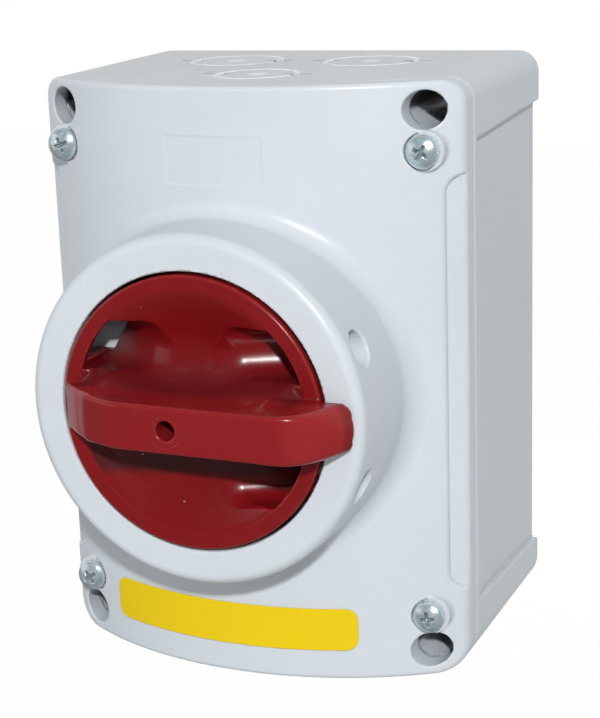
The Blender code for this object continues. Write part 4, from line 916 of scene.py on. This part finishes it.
# Studio: a small key lamp, soft and weak lamps round it, a pale floor and a white surround
studio = {
    "lamps": {
        "keyLamp": {"toward": (0.388, -0.790, 0.475), "away": 1.3, "size": 0.06, "power": 13.4},
        "fillLeft": {"toward": (-0.86, -0.46, 0.20), "away": 1.2, "size": 0.8, "power": 1.7},
        "fillBack": {"toward": (-0.25, 0.958, -0.14), "away": 1.2, "size": 0.3, "power": 5.0},
        "streakRight": {"toward": (0.10, -0.74, 0.67), "away": 1.2, "size": 0.05, "power": 0.08},
        "streakLeft": {"toward": (-0.30, -0.68, 0.66), "away": 1.2, "size": 0.05, "power": 0.08},
    },
    "aim": (0.0, -0.09, 0.0), "surround": 0.35,
    "room": 0.14, "mirrored": 0.82, "roomTurn": (-0.2, 0.3), "roomFloor": (0.1, 0.6),
    "floorDrop": 0.30, "floorSize": 6.0, "floorGlow": 0.985,
    "floorShade": (0.66, 0.66, 0.66), "floorOther": (0.62, 0.62, 0.63),
    "floorPatch": 3.0, "floorDetail": 2.0,
}


def seenBy(tree):  # whether the camera looks, and whether a reflection does
    path = addNode(tree, "ShaderNodeLightPath", {}).outputs
    return path["Is Camera Ray"], larger(tree, path["Is Glossy Ray"], path["Is Transmission Ray"])


def reflectedGlow(tree, place, span):  # pale behind the object, a dim room before it
    depth = addNode(tree, "ShaderNodeSeparateXYZ", {"Vector": place}).outputs["Y"]
    return remap(tree, depth, *span, studio["room"], studio["mirrored"])


def makeLamps():
    for name, lamp in studio["lamps"].items():
        data = bpy.data.lights.new(name, "AREA")
        data.energy = lamp["power"]
        data.size = lamp["size"]
        piece = bpy.data.objects.new(name, data)
        bpy.context.scene.collection.objects.link(piece)
        toward = Vector(lamp["toward"]).normalized()
        piece.location = Vector(studio["aim"]) + toward * lamp["away"]
        piece.rotation_euler = toward.to_track_quat("Z", "Y").to_euler()
        piece.visible_camera = False


def makeSurround():
    world = bpy.data.worlds.new("surround")
    bpy.context.scene.world = world
    world.use_nodes = True
    tree = world.node_tree
    byCamera, mirrored = seenBy(tree)
    toward = addNode(tree, "ShaderNodeTexCoord", {}).outputs["Generated"]
    strength = studio["surround"]
    for factor, other in ((mirrored, reflectedGlow(tree, toward, studio["roomTurn"])), (byCamera, 1.0)):
        links = {"Factor": factor, "A": strength, "B": other}
        strength = addNode(tree, "ShaderNodeMix", links).outputs["Result"]
    background = tree.nodes["Background"]
    background.inputs["Color"].default_value = colour((1, 1, 1))
    tree.links.new(strength, background.inputs["Strength"])


def makeFloor():
    bm = bmesh.new()
    bmesh.ops.create_grid(bm, x_segments=2, y_segments=2, size=studio["floorSize"] / 2)
    mesh = bpy.data.meshes.new("studioFloor")
    bm.to_mesh(mesh)
    bm.free()
    floor = addPiece("studioFloor", mesh)
    floor.location = (0, 0, cadBox[0][2] - studio["floorDrop"])
    floor.data.materials.append(makeFloorPaint())


def makeFloorPaint():  # lit as paint, but seen and mirrored as a glow that meets the surround
    material = bpy.data.materials.new("floorPaint")
    material.use_nodes = True
    tree = material.node_tree
    tree.nodes.remove(tree.nodes["Principled BSDF"])
    place = addNode(tree, "ShaderNodeTexCoord", {}).outputs["Object"]
    patches = noiseOf(tree, place, studio["floorPatch"], studio["floorDetail"])
    shade = blended(tree, patches, colour(studio["floorShade"]), colour(studio["floorOther"]))
    paint = addNode(tree, "ShaderNodeBsdfDiffuse", {"Color": shade}).outputs["BSDF"]
    byCamera, mirrored = seenBy(tree)
    strength = larger(tree, byCamera, reflectedGlow(tree, place, studio["roomFloor"]))
    links = {"Color": colour((1, 1, 1)), "Strength": strength}
    glow = addNode(tree, "ShaderNodeEmission", links).outputs["Emission"]
    seen = multiply(tree, larger(tree, byCamera, mirrored), studio["floorGlow"])
    mixed = addNode(tree, "ShaderNodeMixShader", {0: seen, 1: paint, 2: glow}).outputs["Shader"]
    tree.links.new(mixed, tree.nodes["Material Output"].inputs["Surface"])
    return material


pieces = {
    "base_box": makeBase(), "front_cover": makeCover(),
    "rotary_handle": makeHandle(), "label_plate": makeLabel(),
}
for node in screw["angles"]:
    pieces[node] = makeScrew(node)
materials = {slot: makeFinish(slot, look) for slot, look in finishes.items()}
for part in frame["record"]["subparts"]:
    for piece in (nodes[part["node"]], pieces.get(part["node"])):
        if piece:
            piece.data.materials.clear()
            piece.data.materials.append(materials[part["material_slot"]])
print("finishes set:", len(materials))
makeCamera()
makeLamps()
makeSurround()
makeFloor()
bpy.context.scene.view_settings.view_transform = "Standard"
print("studio set")
